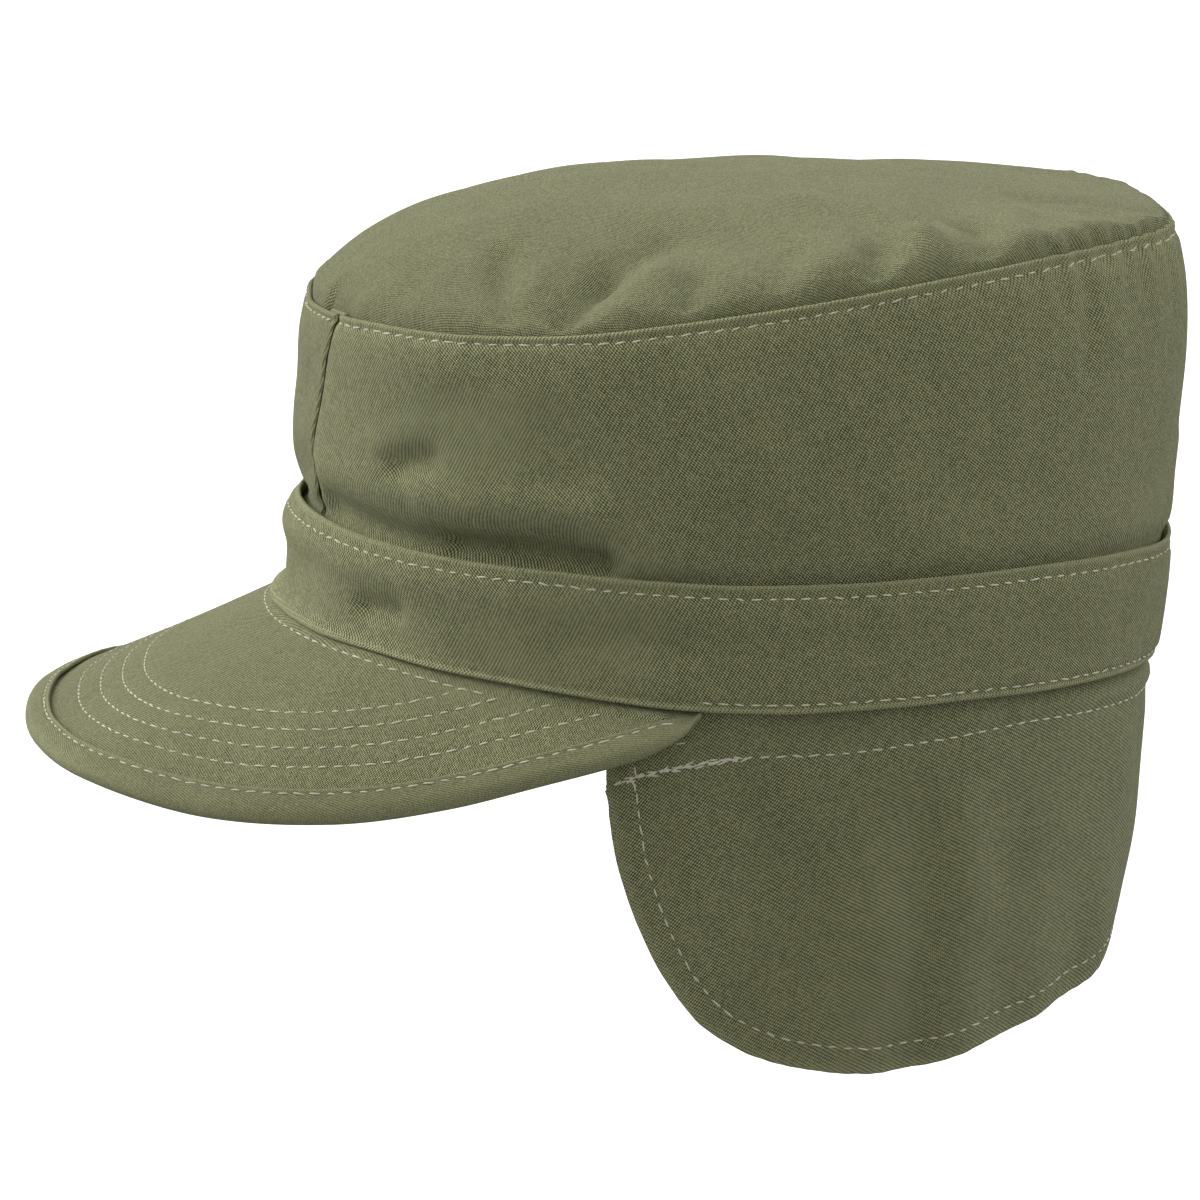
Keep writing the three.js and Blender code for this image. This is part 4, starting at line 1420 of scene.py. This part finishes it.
class CAP_OT_visor_binding(bpy.types.Operator):
    """Strip of cloth folded over the visor's edge."""

    bl_idname = "cap.visor_binding"
    bl_label = "Visor Binding"

    def execute(self, context):
        angle = end_columns(-VISOR_END, VISOR_END, 0.45, 0.6)
        run, turn = grid(np.linspace(0.0, 1.0, 53), angle)
        face = binding_face(turn, run)
        outward = face - visor_spot(turn, 6.0, 1.5)
        worn = 0.75 * bump(np.minimum(run, 1 - run), 0.03) + 0.2 * bump(run - 0.45, 0.12)
        thin = tapered_ends(angle, 0.6) * np.clip(visor_line(angle)["lift"] / 1.25, 0.3, 1)
        wall = size("binding_cloth") * thin
        piece = cloth_piece("visor_binding_cloth", face, wall, outward, worn)
        return finish_piece(piece, ["visor_binding"], twill_material("binding"))


class CAP_OT_flap(bpy.types.Operator):
    """Double cloth flap hanging from inside the band."""

    bl_idname = "cap.flap"
    bl_label = "Flap"

    def execute(self, context):
        front = FLAP_START + np.array([0, 0.05, 0.15, 0.3, 0.5, 0.7, 0.9])
        near = np.append(front, angles_between(68.55, 86.0, 0.24))
        angle = np.concatenate([near, angles_between(86.6, 273.4, 0.62), 360 - near[::-1]])
        share, turn = grid(stepped((-0.09, 0, 4), (0, 1, 60)), angle)
        top = seam_height("band_bottom", angle)
        low = through(FLAP_EDGE, "height", from_front(angle)) + 0.09 * unevenness(angle * 6, 0.0, seed=91)
        height = np.where(share < 0, top - share / 0.09 * 7.0, top + (low + 0.5 - top) * share)
        inside = flap_edge_distance(turn, height)
        full = np.clip(0.25 + 0.75 * np.sqrt(np.clip(inside / 0.9, 0, 1)), 0, 1)
        full = np.where(share < 0.02, np.maximum(full, tapered_ends(angle, 0.6)[None, :]), full)
        piece = cloth_piece(
            "flap_cloth", flap_wall(turn, height, inside), size("flap_cloth") * full,
            place(turn, 1.0, 0.0), rolled(HEM_WEAR, inside), (around(band_wall, turn), height),
        )
        done = finish_piece(piece, ["flap"], twill_material("flap"))
        return done


class CAP_OT_stitching(bpy.types.Operator):
    """Rows of sewing thread along the seams, the visor and the hem."""

    bl_idname = "cap.stitching"
    bl_label = "Stitching"

    def execute(self, context):
        self.crown()
        self.band()
        self.visor()
        self.binding()
        self.flap()
        return {"FINISHED"}

    def crown(self):
        lines = []
        for first, last, surface in (
            (PLEAT_TOP + 0.6, 360 - PLEAT_TOP - 0.6, side_wall),
            (-PLEAT_TOP + 0.8, PLEAT_TOP - 0.8, crown_wall),
        ):
            angle = angles_between(first, last)
            lines.append(surface_line(surface, angle, 1 - seam_row(angle) / crown_height(angle)))
        stitched("crown_stitches", lines, 101, slant=5.0)

    def band(self):
        angle = np.arange(0, 360.05, 0.1)
        upper = surface_line(band_wall, angle, 1 - BAND_UPPER_ROW / band_height(angle))
        angle = angles_between(81.5, 278.5)
        lower = surface_line(band_wall, angle, BAND_LOWER_ROW / band_height(angle))
        stitched("band_stitches", [upper, lower], 102)

    def visor(self):
        lines = []
        for under, way in ((False, (0, 0, 1)), (True, (0, 0, -1))):
            face = partial(visor_face, under=under)
            for row in VISOR_ROWS:
                angle = angles_between(-80, 80)
                angle = angle[visor_line(angle)["length"] - row > 2.4]
                lines.append(surface_line(face, angle, np.full(len(angle), row), way))
            angle = angles_between(-52, 52)
            inward = visor_line(angle)["length"] - VISOR_ROOT_ROW
            lines.append(surface_line(face, angle, inward, way))
        stitched("visor_stitches", lines, 103)

    def binding(self):
        angle = angles_between(-79, 79)
        line = visor_line(angle)
        back = np.clip(1.0 / np.maximum(line["leg"] - line["nose"], 1.2), 0, 0.95)
        reach = 0.5 * (BINDING_BEND + (1 - BINDING_BEND) * (1 - back))
        lines = [
            surface_line(binding_face, angle, 0.5 - side * reach, (0, 0, side), (0.05, 0.004))
            for side in (1, -1)
        ]
        stitched("binding_stitches", lines, 104)

    def flap(self):
        angle = angles_between(68.2, 291.8)
        lines = [surface_line(flap_wall, angle, flap_row_height(angle))]
        for start, stop in TACK_SPANS:
            for late, raised, pitch, lean in TACK_ROWS:
                again = angles_between(start + late, stop - late)
                wobble = 0.3 * np.sin(again * 1.9 + 1.5 * late) + raised
                row = surface_line(flap_wall, again, flap_row_height(again) + wobble)
                lines.append((*row, pitch, lean))
        for start, stop in BAR_SPANS:
            again = angles_between(start, stop)
            lines.append(surface_line(flap_wall, again, BAR_HEIGHT + 0.25 * np.abs(again - start)))
        edge = flap_edge_points()
        edge = edge[edge[:, 1] < -9]
        course = unit(np.gradient(edge, axis=0))
        inner = edge + HEM * np.stack([-course[:, 1], course[:, 0]], -1)
        inner = inner[(inner[:, 1] < -13) & (from_front(inner[:, 0] / ARC) > 68)]
        lines.append(surface_line(flap_wall, inner[:, 0] / ARC, inner[:, 1]))
        stitched("flap_stitches", lines, 105)


class CAP_OT_stage(bpy.types.Operator):
    """Pale floor, two soft lamps, an even sky and the camera."""

    bl_idname = "cap.stage"
    bl_label = "Stage"

    def execute(self, context):
        settings = context.scene.cap_stage
        self.camera(context.scene, settings)
        self.floor(settings)
        self.lights(context.scene, settings)
        context.scene.view_settings.view_transform = "Standard"
        return {"FINISHED"}

    def camera(self, scene, settings):
        target = Vector((0.0, -0.030, 0.0067))
        turn, up = settings.azimuth, settings.elevation
        back = Vector((math.sin(turn) * math.cos(up), -math.cos(turn) * math.cos(up), math.sin(up)))
        data = bpy.data.cameras.new("camera")
        data.lens = settings.lens
        data.sensor_width = 36.0
        scene.camera = put("camera", data)
        scene.camera.location = target + back * settings.distance
        scene.camera.rotation_euler = (-back).to_track_quat("-Z", "Y").to_euler()

    def floor(self, settings):
        """Pale to the camera, and greyer to the light that it throws back on the cap."""
        select_nothing()
        bpy.ops.mesh.primitive_circle_add(vertices=96, radius=30.0, fill_type="NGON")
        floor = bpy.context.object
        floor.name = "floor"
        floor.data.transform(Matrix.Translation((0, 0, settings.floor_height)))
        material, tree, shader = new_material("pale_floor")
        seen = node(tree, "ShaderNodeLightPath").outputs["Is Camera Ray"]
        feed(tree, shader, {
            "Base Color": mixed(tree, seen, (0.3, 0.3, 0.29, 1), (0.96, 0.96, 0.96, 1)),
            "Roughness": 1.0,
            "Specular IOR Level": 0.0,
            "Emission Color": (1, 1, 1, 1),
            "Emission Strength": maths(tree, "MULTIPLY", seen, 0.35),
        })
        floor.data.materials.append(material)

    def lights(self, scene, settings):
        for name, strength, source in (
            ("key_light", settings.key_light, (-0.26, -0.8, 0.54)),
            ("back_light", settings.back_light, (-0.15, 0.82, 0.55)),
        ):
            lamp = bpy.data.lights.new(name, "SUN")
            lamp.energy = strength
            lamp.angle = math.radians(50)
            put(name, lamp).rotation_euler = Vector(source).to_track_quat("Z", "Y").to_euler()
        scene.world = bpy.data.worlds.new("studio")
        scene.world.use_nodes = True
        sky = scene.world.node_tree.nodes["Background"]
        sky.inputs["Color"].default_value = (1.0, 1.0, 1.0, 1)
        sky.inputs["Strength"].default_value = settings.fill_light


class CAP_PT_panel(bpy.types.Panel):
    bl_idname = "CAP_PT_panel"
    bl_label = "Patrol Cap"
    bl_space_type = "VIEW_3D"
    bl_region_type = "UI"
    bl_category = "Cap"

    def draw(self, context):
        layout = self.layout
        for operator in PIECES:
            layout.operator(operator.bl_idname)
        for group in (context.scene.cap_sizes, context.scene.cap_colours, context.scene.cap_stage):
            box = layout.box()
            for name in group.bl_rna.properties.keys():
                if name not in ("rna_type", "name"):
                    box.prop(group, name)


PIECES = (
    CAP_OT_crown_top,
    CAP_OT_crown_side,
    CAP_OT_crown_front,
    CAP_OT_band,
    CAP_OT_visor,
    CAP_OT_visor_binding,
    CAP_OT_flap,
    CAP_OT_stitching,
    CAP_OT_stage,
)
SETTINGS = (
    ("cap_sizes", CapSizes),
    ("cap_colours", CapColours),
    ("cap_stage", CapStage),
)


def register():
    for name, group in SETTINGS:
        bpy.utils.register_class(group)
        setattr(bpy.types.Scene, name, bpy.props.PointerProperty(type=group))
    for kind in (*PIECES, CAP_PT_panel):
        bpy.utils.register_class(kind)


def unregister():
    for kind in reversed((*PIECES, CAP_PT_panel)):
        bpy.utils.unregister_class(kind)
    for name, group in reversed(SETTINGS):
        delattr(bpy.types.Scene, name)
        bpy.utils.unregister_class(group)


def main():
    register()
    bpy.ops.cap.crown_top()
    bpy.ops.cap.crown_side()
    bpy.ops.cap.crown_front()
    bpy.ops.cap.band()
    bpy.ops.cap.visor()
    bpy.ops.cap.visor_binding()
    bpy.ops.cap.flap()
    bpy.ops.cap.stitching()
    bpy.ops.cap.stage()


if __name__ == "__main__":
    main()
